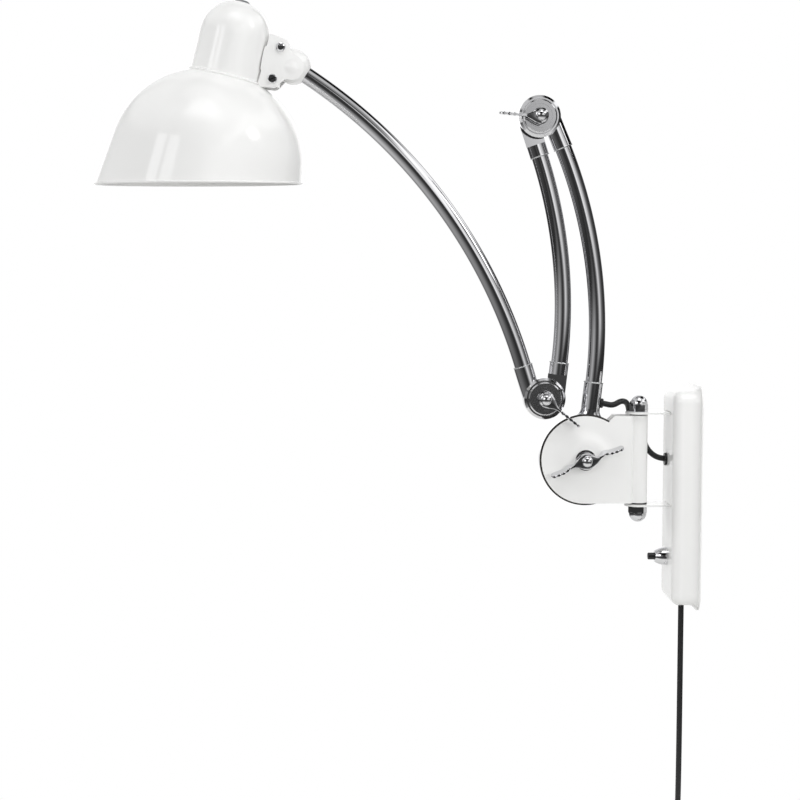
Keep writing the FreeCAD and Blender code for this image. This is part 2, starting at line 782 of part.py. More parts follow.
def clamp_nut(label, wings):
    """Domed hub with one or two upright wings.

    A wing is its heading, straight length, bend radius and bend angle (left is positive).
    """
    nut = body_named(label)
    spin(nut, draw(sketch_on(nut, "XZ_Plane"), [
        (0, 0), (S.nut_hub_r - 0.8, 0), (S.nut_hub_r, 0.8, 0.8, 1),
        (S.nut_hub_r, S.wing_high - 3.0), (S.nut_dome_r + 0.6, S.wing_high - 1.0),
        (S.nut_dome_r, S.nut_height - 3.0),
        (0, S.nut_height, (S.nut_dome_r * S.nut_dome_r + 9.0) / 6, 1)]))
    for heading, straight, bend, turn in wings:
        sketch = sketch_on(nut, "XY_Plane", S.wing_low)
        draw(sketch, wing_outline(heading, straight, bend, turn))
        wing = pad(nut, sketch, S.wing_high - S.wing_low)
        tip = [float(part) for part in wing_outline(heading, straight, bend, turn)[2][:2]]
        round_edges(nut, wing, 2.8, lambda edge, tip=tip: edge.BoundBox.ZLength < 1e-3
                    and edge.Length < float(S.wing_sheet) * 1.2
                    and math.hypot(edge.CenterOfMass.x - tip[0], edge.CenterOfMass.y - tip[1])
                    < float(S.wing_sheet))
    return nut


def wing_outline(heading, straight, bend, turn):
    half = S.wing_sheet / 2
    side = 1 if turn > 0 else -1
    ahead, across = cosine(heading), sine(heading)
    final = heading + turn

    def on_bend(angle, offset):
        # centre of the bend lies on the inner side of the path
        radius = bend - side * offset
        return (straight * ahead - side * bend * across + side * radius * sine(angle),
                straight * across + side * bend * ahead - side * radius * cosine(angle))

    right = [(half * across, -half * ahead), on_bend(heading, -half), on_bend(final, -half)]
    left = [on_bend(final, half), on_bend(heading, half), (-half * across, half * ahead)]
    return [right[0], right[1], (*right[2], bend + side * half, side),
            left[0], (*left[1], bend - side * half, -side), left[2]]


base_nut = clamp_nut("base_wing_nut", [
    (14.0, S.base_wing_reach - 10.0, as_size(14.0), 38.0),
    (211.0, S.base_wing_reach - 17.0, as_size(20.0), -28.0)])
pocket(base_nut, draw_circle(sketch_on(base_nut, "XY_Plane"), 0, 0, bore), 9.0, reverse=True)
base_nut.Placement = at(-S.pivot_reach, -washer_y, S.hinge_height, FRONT)


# ---------------------------------------------------------------- arms

knuckle_x = S.elbow_r - S.sleeve_r
sleeve_bore = S.tube_r + S.running
grip_start = S.sleeve_reach - S.sleeve_grip


def bent_tube(label, start, straight, offset, bend, turn, end):
    """Tube along +Z from start, bent from the height straight on, then straight for end."""
    body = body_named(label)
    side = 1 if turn.number > 0 else -1
    path = sketch_on(body, "XZ_Plane")
    corner_x = offset + side * bend * (1 - cosine(turn))
    corner_z = straight + side * bend * sine(turn)
    draw(path, [
        (offset, start), (offset, straight), (corner_x, corner_z, bend, -side),
        (corner_x + end * sine(turn), corner_z + end * cosine(turn))], closed=False)
    profile = sketch_on(body, "XY_Plane", start)
    draw_circle(profile, offset, 0, S.tube_r)
    draw_circle(profile, offset, 0, S.tube_r - S.tube_wall)
    pipe = body.newObject("PartDesign::AdditivePipe", f"{label}_pipe")
    pipe.Profile = profile
    pipe.Spine = path
    return body


def elbow_half(label):
    """Half-lap knuckle: pin along Y, sleeve along +Z, the lap face looking to -Y."""
    body = body_named(label)
    lap = S.lap_sheet / 2
    pad(body, draw_circle(sketch_on(body, "XY_Plane"), knuckle_x, 0, S.sleeve_r), S.sleeve_reach)
    pocket(body, draw(sketch_on(body, "XZ_Plane", -lap), [
        (-30.0, -1.0), (30.0, -1.0), (30.0, S.elbow_step), (-30.0, S.elbow_step)]), 30.0,
        reverse=True)
    spin(body, draw(sketch_on(body, "XY_Plane"), [
        (0, lap), (S.elbow_r, lap), (S.elbow_r, S.elbow_half - S.elbow_edge),
        (S.elbow_r - S.elbow_edge, S.elbow_half), (0, S.elbow_half)]))
    pocket(body, draw_circle(sketch_on(body, "XZ_Plane"), 0, 0, S.elbow_bolt_r + S.running), 60.0,
           midplane=True)
    pocket(body, draw_circle(sketch_on(body, "XY_Plane", S.sleeve_reach), knuckle_x, 0,
                             sleeve_bore), S.sleeve_grip)
    return body


FLIP = Rotation(Vector(0, 0, 1), 180)


def along(place, x=0.0, y=0.0, z=0.0, turn=None):
    return place.multiply(at(x, y, z, turn))


# lower arm: origin in the clamp pivot, +Z along the socket
arm_1_at = at(-S.pivot_reach, 0, S.hinge_height, lean(S.arm_1_lean))
drum = body_named("pivot_drum")
rim = S.drum_half
spin(drum, draw(sketch_on(drum, "XY_Plane"), [
    (bore, -hub_y), (12.0, -hub_y), (12.0, -rim + 4.0), (30.0, -rim + 4.0), (30.0, -rim),
    (S.drum_r - 1.2, -rim), (S.drum_r, -rim + 1.2, 1.2, 1), (S.drum_r, rim - 1.2),
    (S.drum_r - 1.2, rim, 1.2, 1), (30.0, rim), (30.0, rim - 4.0), (12.0, rim - 4.0),
    (12.0, hub_y), (bore, hub_y)]))
pad(drum, draw_circle(sketch_on(drum, "XY_Plane", 38.0), 0, 0, S.sleeve_r - 0.6), 12.0)
foot = []
for angle in (0.0, 30.0, 60.0, 90.0):
    half = S.sleeve_r + 8.0 * (1 - sine(angle))
    deep = S.sleeve_r - 0.6 * cosine(angle)
    foot.append(draw_rounded(sketch_on(drum, "XY_Plane", 43.5 + 9.0 * (1 - cosine(angle))),
                             2 * half, 2 * deep, deep - 0.3))
loft(drum, "AdditiveLoft", foot)
pad(drum, draw_circle(sketch_on(drum, "XY_Plane", 52.5), 0, 0, S.sleeve_r),
    S.socket_reach - 52.5)
pocket(drum, draw_circle(sketch_on(drum, "XY_Plane", S.socket_reach), 0, 0, sleeve_bore), 16.5)
pocket(drum, draw_circle(sketch_on(drum, "XY_Plane", S.socket_reach - 16.0), 0, 0, 6.0), 12.0)
pocket(drum, draw_circle(sketch_on(drum, "YZ_Plane"), 0, S.socket_reach - 21.0, 4.2), 20.0,
       reverse=True)
drum.Placement = arm_1_at
arm_1 = bent_tube("arm_1_tube", S.socket_reach - 16.3, S.socket_reach, as_size(0.0),
                  S.arm_1_bend_r, -S.arm_1_turn, S.sleeve_reach - grip_start)
arm_1.Placement = arm_1_at
grommet = turned("arm_1_grommet", [
    (S.lead_r + S.running, 6.5), (4.15, 6.5), (4.15, S.sleeve_r), (5.0, S.sleeve_r),
    (5.0, S.sleeve_r + 1.8), (4.2, S.sleeve_r + 2.6, 0.8, 1),
    (S.lead_r + S.running, S.sleeve_r + 2.6)])
grommet.Placement = along(arm_1_at, 0, 0, S.socket_reach - 21.0, lean(90))

turn_1 = S.arm_1_turn
end_1_x = S.arm_1_bend_r * (cosine(turn_1) - 1) - S.sleeve_reach * sine(turn_1)
end_1_z = S.socket_reach + S.arm_1_bend_r * sine(turn_1) + S.sleeve_reach * cosine(turn_1)
elbow_1_at = along(arm_1_at, end_1_x - knuckle_x * cosine(turn_1), 0,
                   end_1_z - knuckle_x * sine(turn_1), lean(180.0 - turn_1))
elbow_half("arm_1_elbow").Placement = along(elbow_1_at, turn=FLIP)

# middle arm: origin in the first elbow, +Z down the tube; its own elbow is parked beside the drum
turn_2 = S.arm_2_turn
end_2_x = knuckle_x + S.arm_2_bend_r * (1 - cosine(turn_2)) + S.sleeve_reach * sine(turn_2)
end_2_z = S.sleeve_reach + S.arm_2_bend_r * sine(turn_2) + S.sleeve_reach * cosine(turn_2)
chord_2_x = end_2_x + knuckle_x * cosine(turn_2)
chord_2_z = end_2_z - knuckle_x * sine(turn_2)
chord_2 = root(chord_2_x * chord_2_x + chord_2_z * chord_2_z)
back_x = knuckle_x * cosine(turn_1) - end_1_x
back_z = knuckle_x * sine(turn_1) - end_1_z
chord_1 = root(back_x * back_x + back_z * back_z)
park = S.drum_r + S.elbow_r + S.park_gap
fold_cosine = float((chord_1 * chord_1 + chord_2 * chord_2 - park * park)
                    / (2 * chord_1 * chord_2))
clear_fold = math.degrees(math.acos(min(1.0, fold_cosine)))
to_pivot = float(lean_of(back_x, back_z) - (180.0 - turn_1)) % 360.0
least_gap = to_pivot + clear_fold - float(lean_of(chord_2_x, chord_2_z))
arm_2_at = along(elbow_1_at, turn=lean(max(float(S.arm_2_gap_angle), least_gap)))
print(f"fold of the middle arm {float(S.arm_2_gap_angle):.2f}, least {least_gap:.2f} deg")
arm_2 = bent_tube("arm_2_tube", grip_start + 0.2, S.sleeve_reach, knuckle_x, S.arm_2_bend_r,
                  turn_2, S.sleeve_reach - grip_start - 0.2)
arm_2.Placement = arm_2_at
elbow_half("arm_2_upper_elbow").Placement = arm_2_at
elbow_2_at = along(arm_2_at, chord_2_x, 0, chord_2_z, lean(turn_2 + 180.0))
elbow_half("arm_2_lower_elbow").Placement = elbow_2_at

# upper arm: origin in the second elbow, +Z up the tube
arm_3_at = along(elbow_2_at, turn=lean(-S.arm_3_gap_angle))
turn_3 = S.arm_3_turn
arm_3 = bent_tube("arm_3_tube", grip_start + 0.2, S.sleeve_reach, -knuckle_x, S.arm_3_bend_r,
                  -turn_3, S.arm_3_tail - 6.0)
arm_3.Placement = arm_3_at
elbow_half("arm_3_elbow").Placement = along(arm_3_at, turn=FLIP)
ball_x = -knuckle_x + S.arm_3_bend_r * (cosine(turn_3) - 1) - S.arm_3_tail * sine(turn_3)
ball_z = S.sleeve_reach + S.arm_3_bend_r * sine(turn_3) + S.arm_3_tail * cosine(turn_3)
ball_at = along(arm_3_at, ball_x, 0, ball_z, lean(-turn_3))

# elbow hardware, +Z towards the viewer
joints = [Placement(place.Base, FRONT) for place in (elbow_1_at, elbow_2_at)]
cap_base = S.elbow_half
nut_base = S.elbow_half + S.cap_height
for label, place in zip(("elbow_1_cap", "elbow_2_cap"), joints):
    turned(label, [
        (S.elbow_bolt_r + S.running, cap_base), (S.cap_r, cap_base), (S.cap_r, cap_base + 1.0),
        (S.cap_face_r + 1.2, cap_base + 1.0), (S.cap_face_r, nut_base), (12.5, nut_base),
        (12.5, nut_base - 0.4), (11.7, nut_base - 0.4), (11.7, nut_base),
        (S.elbow_bolt_r + S.running, nut_base)]).Placement = place
bolt = helper(turned("elbow_bolt", [
    (0, -S.elbow_half - 4.5), (4.5, -S.elbow_half - 4.5), (5.5, -S.elbow_half - 3.5, 1.0, 1),
    (5.5, -S.elbow_half), (S.elbow_bolt_r, -S.elbow_half), (S.elbow_bolt_r, nut_base + 9.0),
    (0, nut_base + 9.0)]))
group("elbow_bolts", bolt, joints)
washer = helper(ring("elbow_washer", 16.0, S.elbow_bolt_r + S.running, S.lap_sheet))
group("elbow_washers", washer, [along(place, z=-S.lap_sheet / 2) for place in joints])
for label, place, heading in (("elbow_1_wing_nut", joints[0], 178.0),
                              ("elbow_2_wing_nut", joints[1], -39.0)):
    nut = clamp_nut(label, [(heading, S.elbow_wing_reach - 12.0, as_size(70.0), -10.0)])
    pocket(nut, draw_circle(sketch_on(nut, "XY_Plane"), 0, 0, S.elbow_bolt_r + S.running), 10.0,
           reverse=True)
    nut.Placement = along(place, z=nut_base)


# ---------------------------------------------------------------- head

ball = body_named("head_ball")
spin(ball, draw(sketch_on(ball, "XZ_Plane"), [
    (0, -S.ball_r), (S.ball_r, 0, S.ball_r, 1), (0, S.ball_r, S.ball_r, 1)]))
pocket(ball, draw_circle(sketch_on(ball, "XY_Plane", -6.0), 0, 0, sleeve_bore), 30.0)
ball.Placement = ball_at

# clamp frame: origin in the ball, +Z along the shade axis
clamp_at = Placement(ball_at.Base, Rotation(Vector(1, 0, 0), float(S.head_roll))
                     .multiply(lean(S.head_tilt)))
# shade frame: origin in the middle of the neck
head_at = along(clamp_at, -S.neck_across, 0, -S.neck_drop)

screw_x, screw_z, lobe = -S.clamp_screw_across, S.clamp_screw_up, as_size(12.3)
lug = as_size(7.1)
plate_outline = [
    (-27.0, -screw_z - lug), (screw_x, -screw_z - lug),
    (screw_x + lug * cosine(15.0), -screw_z + lug * sine(15.0) * -1, lug, 1),
    (-lobe * sine(3.0), -lobe * cosine(3.0)), (lobe, 0, lobe, 1),
    (-lobe * sine(3.0), lobe * cosine(3.0), lobe, 1),
    (screw_x + lug * cosine(15.0), screw_z + lug * sine(15.0)),
    (screw_x, screw_z + lug, lug, 1), (-27.0, screw_z + lug)]
near = S.clamp_inside
far = near + S.clamp_sheet
cup = S.ball_r + S.running
for label, side in (("clamp_plate_near", -1), ("clamp_plate_far", 1)):
    body = body_named(label)
    lift = near if side < 0 else -far
    outline = pad(body, draw(sketch_on(body, "XZ_Plane", lift), plate_outline), S.clamp_sheet)
    holes = sketch_on(body, "XZ_Plane")
    draw_circle(holes, 0, 0, 9.0)
    for level in (-1, 1):
        draw_circle(holes, screw_x, screw_z * level, S.clamp_screw_r + S.running)
    pocket(body, holes, 80.0, midplane=True)
    inner_rim = root(cup * cup - near * near)
    shell = cup + S.clamp_sheet
    outer_rim = root(shell * shell - far * far)
    if side < 0:
        spin(body, draw(sketch_on(body, "XY_Plane"), [
            (0, -shell), (outer_rim, -far, shell, 1), (9.0, -far), (9.0, -near),
            (inner_rim, -near), (0, -cup, cup, -1)]))
    else:
        spin(body, draw(sketch_on(body, "XY_Plane"), [
            (0, cup), (inner_rim, near, cup, -1), (9.0, near), (9.0, far), (outer_rim, far),
            (0, shell, shell, 1)]))
    body.Placement = clamp_at

saddle = body_named("clamp_saddle")
pad(saddle, draw(sketch_on(saddle, "XZ_Plane"), [
    (-40.0, -screw_z - 5.0), (screw_x + 5.0, -screw_z - 5.0), (screw_x + 5.0, screw_z + 5.0),
    (-40.0, screw_z + 5.0)]), 2 * near, midplane=True)
pocket(saddle, draw_circle(sketch_on(saddle, "XZ_Plane"), 0, 0, S.ball_r + 0.6), 80.0,
       midplane=True)
pocket(saddle, draw_circle(sketch_on(saddle, "XY_Plane"), -S.neck_across, 0,
                           S.cap_neck_r + S.running), 120.0, midplane=True)
saddle_holes = sketch_on(saddle, "XZ_Plane")
for level in (-1, 1):
    draw_circle(saddle_holes, screw_x, screw_z * level, S.clamp_screw_r + S.running)
pocket(saddle, saddle_holes, 80.0, midplane=True)
pocket(saddle, draw_circle(sketch_on(saddle, "YZ_Plane", -30.0), 0, 0, 1.65), 8.5, reverse=True)
saddle.Placement = clamp_at

screw = helper(turned("clamp_screw", [
    (0, -far - 3.0), (3.6, -far - 3.0), (3.6, -far), (S.clamp_screw_r, -far),
    (S.clamp_screw_r, far), (4.6, far), (4.6, far + 2.0), (4.0, far + 2.6, 0.6, 1),
    (2.2, far + 2.6), (2.2, far + 1.0), (0, far + 1.0)]))
group("clamp_screws", screw, [
    along(clamp_at, screw_x, 0, screw_z * level, FRONT) for level in (-1, 1)])

wall = S.cap_wall
cap = turned("lamp_cap", [
    (S.cap_neck_r - wall, 0), (S.shade_neck_r, 0), (S.shade_neck_r, 1.0), (S.cap_neck_r, 2.0),
    (S.cap_dome_r, S.cap_side), (5.05, S.cap_side + root(S.cap_dome_r * S.cap_dome_r - 25.5),
                                 S.cap_dome_r, 1),
    (5.05, S.cap_side + root((S.cap_dome_r - wall) * (S.cap_dome_r - wall) - 25.5)),
    (S.cap_dome_r - wall, S.cap_side, S.cap_dome_r - wall, -1)])
pocket(cap, draw_circle(sketch_on(cap, "YZ_Plane"), 0, S.neck_drop, 1.7), 60.0, reverse=True)
cap.Placement = head_at
pole = S.cap_side + S.cap_dome_r
turned("saddle_screw", [
    (0, 0), (3.4, 0), (3.4, 2.0), (1.6, 2.0), (1.6, 9.0), (0, 9.0)]).Placement = along(
        head_at, S.cap_dome_r - wall - 2.2, 0, S.neck_drop, lean(90))
turned("cap_finial", [
    (0, pole - 4.0), (4.0, pole - 4.0), (4.0, pole - 0.3), (S.finial_r, pole - 0.3),
    (S.finial_r, pole + 0.6), (S.finial_r - 0.8, pole + 1.4, 0.8, 1), (0, pole + 1.4)]
    ).Placement = head_at
holder_top = as_size(35.0)
turned("support_rod", [
    (4.05, holder_top), (5.0, holder_top), (5.0, pole - 0.4), (4.05, pole - 0.4)]
    ).Placement = head_at

shade = body_named("shade")
dome_r, dome_in = S.shade_dome_r, S.shade_dome_in
thin = S.shade_wall
break_z = -(S.shade_dome_drop - dome_r * sine(S.shade_flare))
break_x = dome_in + dome_r * cosine(S.shade_flare)
inner_z = -(S.shade_dome_drop - (dome_r - thin) * sine(S.shade_flare))
inner_x = dome_in + (dome_r - thin) * cosine(S.shade_flare)
skirt = as_size(70.0)
spin(shade, draw(sketch_on(shade, "XZ_Plane"), [
    (S.holder_r + 0.1, -thin), (S.holder_r + 0.1, 0),
    (dome_in + root(dome_r * dome_r - S.shade_dome_drop * S.shade_dome_drop), 0),
    (break_x, break_z, dome_r, -1),
    (break_x + skirt * tangent(S.shade_flare), break_z - skirt),
    (inner_x + (skirt + break_z * -1 + inner_z) * tangent(S.shade_flare), break_z - skirt),
    (inner_x, inner_z),
    (dome_in + root((dome_r - thin) * (dome_r - thin)
                    - (S.shade_dome_drop - thin) * (S.shade_dome_drop - thin)), -thin,
     dome_r - thin, 1)]))
pocket(shade, draw(sketch_on(shade, "XZ_Plane"), [
    (-150.0, -S.shade_cut - 150.0 * tangent(S.shade_cut_tilt)),
    (-150.0, -260.0), (150.0, -260.0),
    (150.0, -S.shade_cut + 150.0 * tangent(S.shade_cut_tilt))]), 300.0, midplane=True)
shade.Placement = head_at

turned("shade_ring", [
    (S.holder_r + S.running, -thin), (26.0, -thin), (26.0, -thin - 3.5), (24.5, -thin - 5.0),
    (S.holder_r + S.running, -thin - 5.0)][::-1]).Placement = head_at
drop = S.holder_drop
turned("lampholder", [
    (14.2, -drop), (S.holder_r, -drop), (S.holder_r, 0), (24.0, 0), (24.0, 1.5),
    (S.holder_r, 1.5), (S.holder_r - 2.0, holder_top - 3.0), (8.0, holder_top), (0, holder_top),
    (0, 12.0), (14.2, 12.0)]).Placement = head_at
bulb_low = -(drop + S.bulb_length)
centre_z = bulb_low + S.bulb_r
turned("bulb_glass", [
    (0, bulb_low), (S.bulb_r, centre_z, S.bulb_r, 1),
    (S.bulb_r * cosine(35.0), centre_z + S.bulb_r * sine(35.0), S.bulb_r, 1),
    (13.0, -drop - 3.0), (12.0, -drop - 3.0),
    ((S.bulb_r - 1.0) * cosine(35.0), centre_z + (S.bulb_r - 1.0) * sine(35.0)),
    (S.bulb_r - 1.0, centre_z, S.bulb_r - 1.0, -1),
    (0, bulb_low + 1.0, S.bulb_r - 1.0, -1)]).Placement = head_at
turned("bulb_cap", [
    (0, -drop - 3.0), (13.0, -drop - 3.0), (13.0, 6.0), (9.0, 10.0), (4.0, 12.0), (0, 12.0)]
    ).Placement = head_at


# ---------------------------------------------------------------- leads

def into(place, x, y, z):
    return tuple(place.multVec(Vector(float(x), float(y), float(z))))


flex_level = S.socket_reach - 21.0
radii = []
flex_points = [
    into(arm_1_at, 4.0, 0, flex_level), into(arm_1_at, 25.0, 0, flex_level),
    (-68.5, 19.5, 93.5), (-63.0, 22.0, 76.0), (-50.0, 17.0, 62.0), (-46.5, 10.0, 43.0),
    (-40.0, float(grommet_y), float(grommet_z)), (-18.0, float(grommet_y), float(grommet_z))]
cord("link_flex", route(flex_points, radii), S.lead_r)

coil_pitch = 2 * S.lead_r.number + 2 * S.coil_gap.number
coil_top = -400.0
spiral = 1.375
half_width = coil_pitch * spiral / 2
coil_outer = S.coil_r.number + half_width
coil_x = 17.5
layers = 4


def coil_point(turns):
    """Place on the put-away coil after a number of turns, outer end first."""
    period = spiral + 0.5
    layer = min(int(turns // period), layers - 1)
    within = turns - layer * period
    part = min(within / spiral, 1.0)
    climb = max(within - spiral, 0.0) / 0.5
    inwards = layer % 2 == 0
    radius = coil_outer - 2 * half_width * (part if inwards else 1 - part)
    level = layer + (1 - math.cos(math.pi * climb)) / 2
    angle = 2 * math.pi * turns
    x = -(coil_x - coil_pitch * (layers - 1) / 2) - coil_pitch * level
    return Vector(x, radius * math.cos(angle), coil_top - radius * math.sin(angle))


total_turns = layers * spiral + (layers - 1) * 0.5
count = int(round(total_turns * 8))
stops = [coil_point(total_turns * step / count) for step in range(count + 1)]
step_size = 1e-4
ways = []
for step in range(count + 1):
    low = max(total_turns * step / count - step_size, 0.0)
    high = min(total_turns * step / count + step_size, total_turns)
    ways.append((coil_point(high) - coil_point(low)).normalize())
ways[0] = Vector(0, 0, -1)
ways[-1] = Vector(0, 0, -1)
coil_edges = []
for index in range(count):
    coil_edges += biarc(stops[index], ways[index], stops[index + 1], ways[index + 1])
cord("cord_coil", coil_edges, S.lead_r)

mains_top = -S.box_height.number / 2 + 12.0
first = stops[0]
mains_points = [
    (-S.mains_from_wall.number, 0, mains_top), (-S.mains_from_wall.number, 0, -335.0),
    (first.x, first.y, coil_top + 22.0), tuple(first)]
cord("mains_cord", route(mains_points, radii), S.lead_r)
last = stops[-1]
tail_points = [tuple(last), (last.x, last.y, coil_top - 40.0), (last.x - 6.0, last.y - 10.0, -495.0),
               (last.x - 6.0, last.y - 10.0, -530.0)]
cord("cord_tail", route(tail_points, radii), S.lead_r)
print("cord bend radii", [round(radius, 1) for radius in radii])

# tie round the coil on its far side from the lead
ring_low = coil_outer - 2 * half_width - float(S.lead_r) - 0.2
ring_high = coil_outer + float(S.lead_r) + 0.2
deep = coil_pitch * (layers - 1) + 2 * float(S.lead_r) + 0.4
tie = body_named("cord_tie")
tie_profile = sketch_on(tie, "XZ_Plane", 4.0)
low_x = -coil_x - deep / 2
for grow in (1.2, 0.0):
    draw(tie_profile, [
        (low_x - grow, coil_top - ring_high - grow), (low_x + deep + grow, coil_top - ring_high - grow),
        (low_x + deep + grow, coil_top - ring_low + grow), (low_x - grow, coil_top - ring_low + grow)])
pad(tie, tie_profile, 8.0, reverse=True)

plug_x, plug_y = last.x - 6.0, last.y - 10.0
plug_body = body_named("plug_body")
pad(plug_body, draw_rounded(sketch_on(plug_body, "XY_Plane", -530.0), 14.0, 36.0, 6.0), 26.0,
    reverse=True)
plug_body.Placement = at(plug_x, plug_y, 0)
plug_pin = helper(turned("plug_pin", [
    (0, 0), (2.4, 0), (2.4, -17.0), (1.4, -19.0), (0, -19.0)][::-1]))
group("plug_pins", plug_pin, [at(plug_x, plug_y + 9.25 * side, -556.0) for side in (-1, 1)])


# ---------------------------------------------------------------- checks and export

doc.recompute()
faults = []
for item in doc.Objects:
    if "Invalid" in item.State or "Error" in item.State:
        faults.append(f"{item.Name}: {item.State}")
os.makedirs("parts", exist_ok=True)
for name, node in NODES.items():
    shape = node.Shape
    if shape.isNull() or not shape.isValid() or shape.Volume <= 0:
        faults.append(f"{name}: bad shape")
        continue
    shape.exportStep(f"parts/{name}.step")
    box = shape.BoundBox
    print(f"{name}: {len(shape.Solids)} solids, {shape.Volume:.0f} mm3, "
          f"X {box.XMin:.1f} {box.XMax:.1f} Y {box.YMin:.1f} {box.YMax:.1f} "
          f"Z {box.ZMin:.1f} {box.ZMax:.1f}")
for label, place in (("first elbow", elbow_1_at), ("second elbow", elbow_2_at), ("ball", ball_at),
                     ("neck", head_at)):
    print(label, [round(value, 2) for value in place.Base])
if faults:
    raise RuntimeError("; ".join(faults))
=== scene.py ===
import math

import bmesh
import bpy
from mathutils import Matrix, Vector


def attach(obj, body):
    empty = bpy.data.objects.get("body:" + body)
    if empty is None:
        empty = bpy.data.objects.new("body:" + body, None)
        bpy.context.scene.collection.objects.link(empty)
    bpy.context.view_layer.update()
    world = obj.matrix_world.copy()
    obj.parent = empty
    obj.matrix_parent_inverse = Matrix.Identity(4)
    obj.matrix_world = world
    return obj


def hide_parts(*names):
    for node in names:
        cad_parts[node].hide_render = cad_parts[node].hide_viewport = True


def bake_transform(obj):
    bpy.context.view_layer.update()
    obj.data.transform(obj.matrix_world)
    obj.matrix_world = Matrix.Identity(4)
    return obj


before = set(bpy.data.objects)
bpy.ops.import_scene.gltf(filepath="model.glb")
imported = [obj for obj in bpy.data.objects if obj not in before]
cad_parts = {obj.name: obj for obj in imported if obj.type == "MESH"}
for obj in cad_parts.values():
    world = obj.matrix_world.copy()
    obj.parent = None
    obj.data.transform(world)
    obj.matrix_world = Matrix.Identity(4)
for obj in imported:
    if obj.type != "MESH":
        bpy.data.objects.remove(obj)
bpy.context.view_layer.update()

MM = 0.001
# joints, arms and head at rest: centres in mm, lean at the start, turn in degrees, bend radius
PIVOT = Vector((-115.7, 0.0, 39.0))
ELBOW_1 = Vector((-165.04, 0.0, 390.2))
ELBOW_2 = Vector((-157.94, 0.0, 102.46))
BALL = Vector((-415.23, 0.0, 440.11))
LEAN_1, TURN_1, BEND_1 = 6.5, 28.8, 487.0
LEAN_2, TURN_2, BEND_2 = 161.8, 24.7, 495.0
LEAN_3, TURN_3, BEND_3 = -16.9, 40.0, 540.0
HEAD_TILT, HEAD_ROLL = 13.3, 1.9


def place(point, lean=0.0, roll=0.0):
    """Local axes with +Z leaning over towards +X, the origin given in millimetres."""
    turn = Matrix.Rotation(math.radians(roll), 4, "X") @ Matrix.Rotation(math.radians(lean), 4, "Y")
    return Matrix.Translation(Vector(point)) @ turn


# turns local +Z to face the side that the clamp nuts are on
TO_VIEWER = Matrix.Rotation(math.radians(90), 4, "X")
CLAMP = place(BALL, HEAD_TILT, HEAD_ROLL)
HEAD = CLAMP @ Matrix.Translation((-64.4, 0, -26.3))


# ---------------------------------------------------------------- camera, floor and light

scene = bpy.context.scene
scene.view_settings.view_transform = "Standard"
# the camera stands and aims as in the photo
camera_data = bpy.data.cameras.new("camera")
camera_data.lens = 72.6
camera_data.sensor_width = 36.0
camera = bpy.data.objects.new("camera", camera_data)
scene.collection.objects.link(camera)
camera.location = Vector((-349.5, -1662.0, 232.6)) * MM
aim = Vector((-307.0, 0.0, 100.6)) * MM - camera.location
camera.rotation_euler = aim.to_track_quat("-Z", "Y").to_euler()
scene.camera = camera


def paint(code):
    """sRGB hex colour as linear RGBA."""
    parts = [int(code[i:i + 2], 16) / 255 for i in (1, 3, 5)]
    linear = [c / 12.92 if c <= 0.04045 else ((c + 0.055) / 1.055) ** 2.4 for c in parts]
    return (*linear, 1.0)


def add(tree, kind, links=None, **settings):
    """Adds a node; settings are its properties or its unlinked inputs, links feed its inputs."""
    made = tree.nodes.new(kind)
    for name, value in settings.items():
        if hasattr(made, name):
            setattr(made, name, value)
        else:
            made.inputs[name.replace("_", " ")].default_value = value
    for name, source in (links or {}).items():
        tree.links.new(source, made.inputs[name])
    return made


def new_material(name):
    material = bpy.data.materials.new(name)
    material.use_nodes = True
    material.node_tree.nodes.clear()
    return material, material.node_tree


def shader(name, colour, rough, metallic=0.0, grain_mm=1.0, lift=0.0, **sockets):
    """Principled finish whose roughness and relief vary with a fine noise in object space."""
    material, tree = new_material(name)
    place_on = add(tree, "ShaderNodeTexCoord")
    grain = add(tree, "ShaderNodeTexNoise", {"Vector": place_on.outputs["Object"]},
                Scale=1.0 / (grain_mm * MM), Detail=3.0)
    spread = add(tree, "ShaderNodeMapRange", {"Value": grain.outputs["Fac"]},
                 To_Min=rough * 0.8, To_Max=rough * 1.25)
    surface = add(tree, "ShaderNodeBsdfPrincipled", {"Roughness": spread.outputs[0]},
                  Base_Color=paint(colour), Metallic=metallic, **sockets)
    if lift > 0:
        relief = add(tree, "ShaderNodeBump", {"Height": grain.outputs["Fac"]},
                     Strength=0.35, Distance=lift * MM)
        tree.links.new(relief.outputs[0], surface.inputs["Normal"])
    add(tree, "ShaderNodeOutputMaterial", {"Surface": surface.outputs[0]})
    return material


# stoved gloss enamel on pressed steel: deep even white, faint orange peel
ENAMEL = shader("white_stoved_enamel", "#F1F1F0", 0.085, grain_mm=30.0, lift=0.01)
# polished nickel-chrome plate on brass tube and steel
CHROME = shader("polished_chrome_plate", "#DDDDDF", 0.06, 1.0, grain_mm=6.0)
# drawn tube, buffed along its length
CHROME_TUBE = shader("buffed_chrome_tube", "#D6D6D8", 0.065, 1.0, grain_mm=2.0)
# turned faces keep fine rings, so they are a little softer
CHROME_TURNED = shader("turned_chrome_plate", "#D6D6D8", 0.15, 1.0, grain_mm=0.6, lift=0.008)
# zinc on mild steel, dull and slightly mottled
ZINC = shader("zinc_plated_steel", "#A9ABAC", 0.38, 1.0, grain_mm=1.5, lift=0.02)
# moulded black thermoset with an even sheen; also the black sheet that paints the shade in a clamp
# screw's slot
BLACK_AND_SLOT_SHADE = shader("black_phenolic_and_slot_shade", "#161616", 0.3, grain_mm=0.8, lift=0.01)
# plasticised black lead sheath, soft sheen with fine drag marks
SHEATH = shader("black_pvc_sheath", "#1B1B1C", 0.42, grain_mm=1.2, lift=0.04)
# pressed fibre washers; also the dark ring that paints a shadow line round the pivot drum's rim
FIBRE_AND_SHADOW = shader("dark_fibre_and_painted_shadow", "#2A2826", 0.8, grain_mm=0.5, lift=0.05)
# turned nylon bearing stock, milky and matt
NYLON = shader("natural_nylon", "#D8D4C8", 0.5, grain_mm=1.0, lift=0.02)
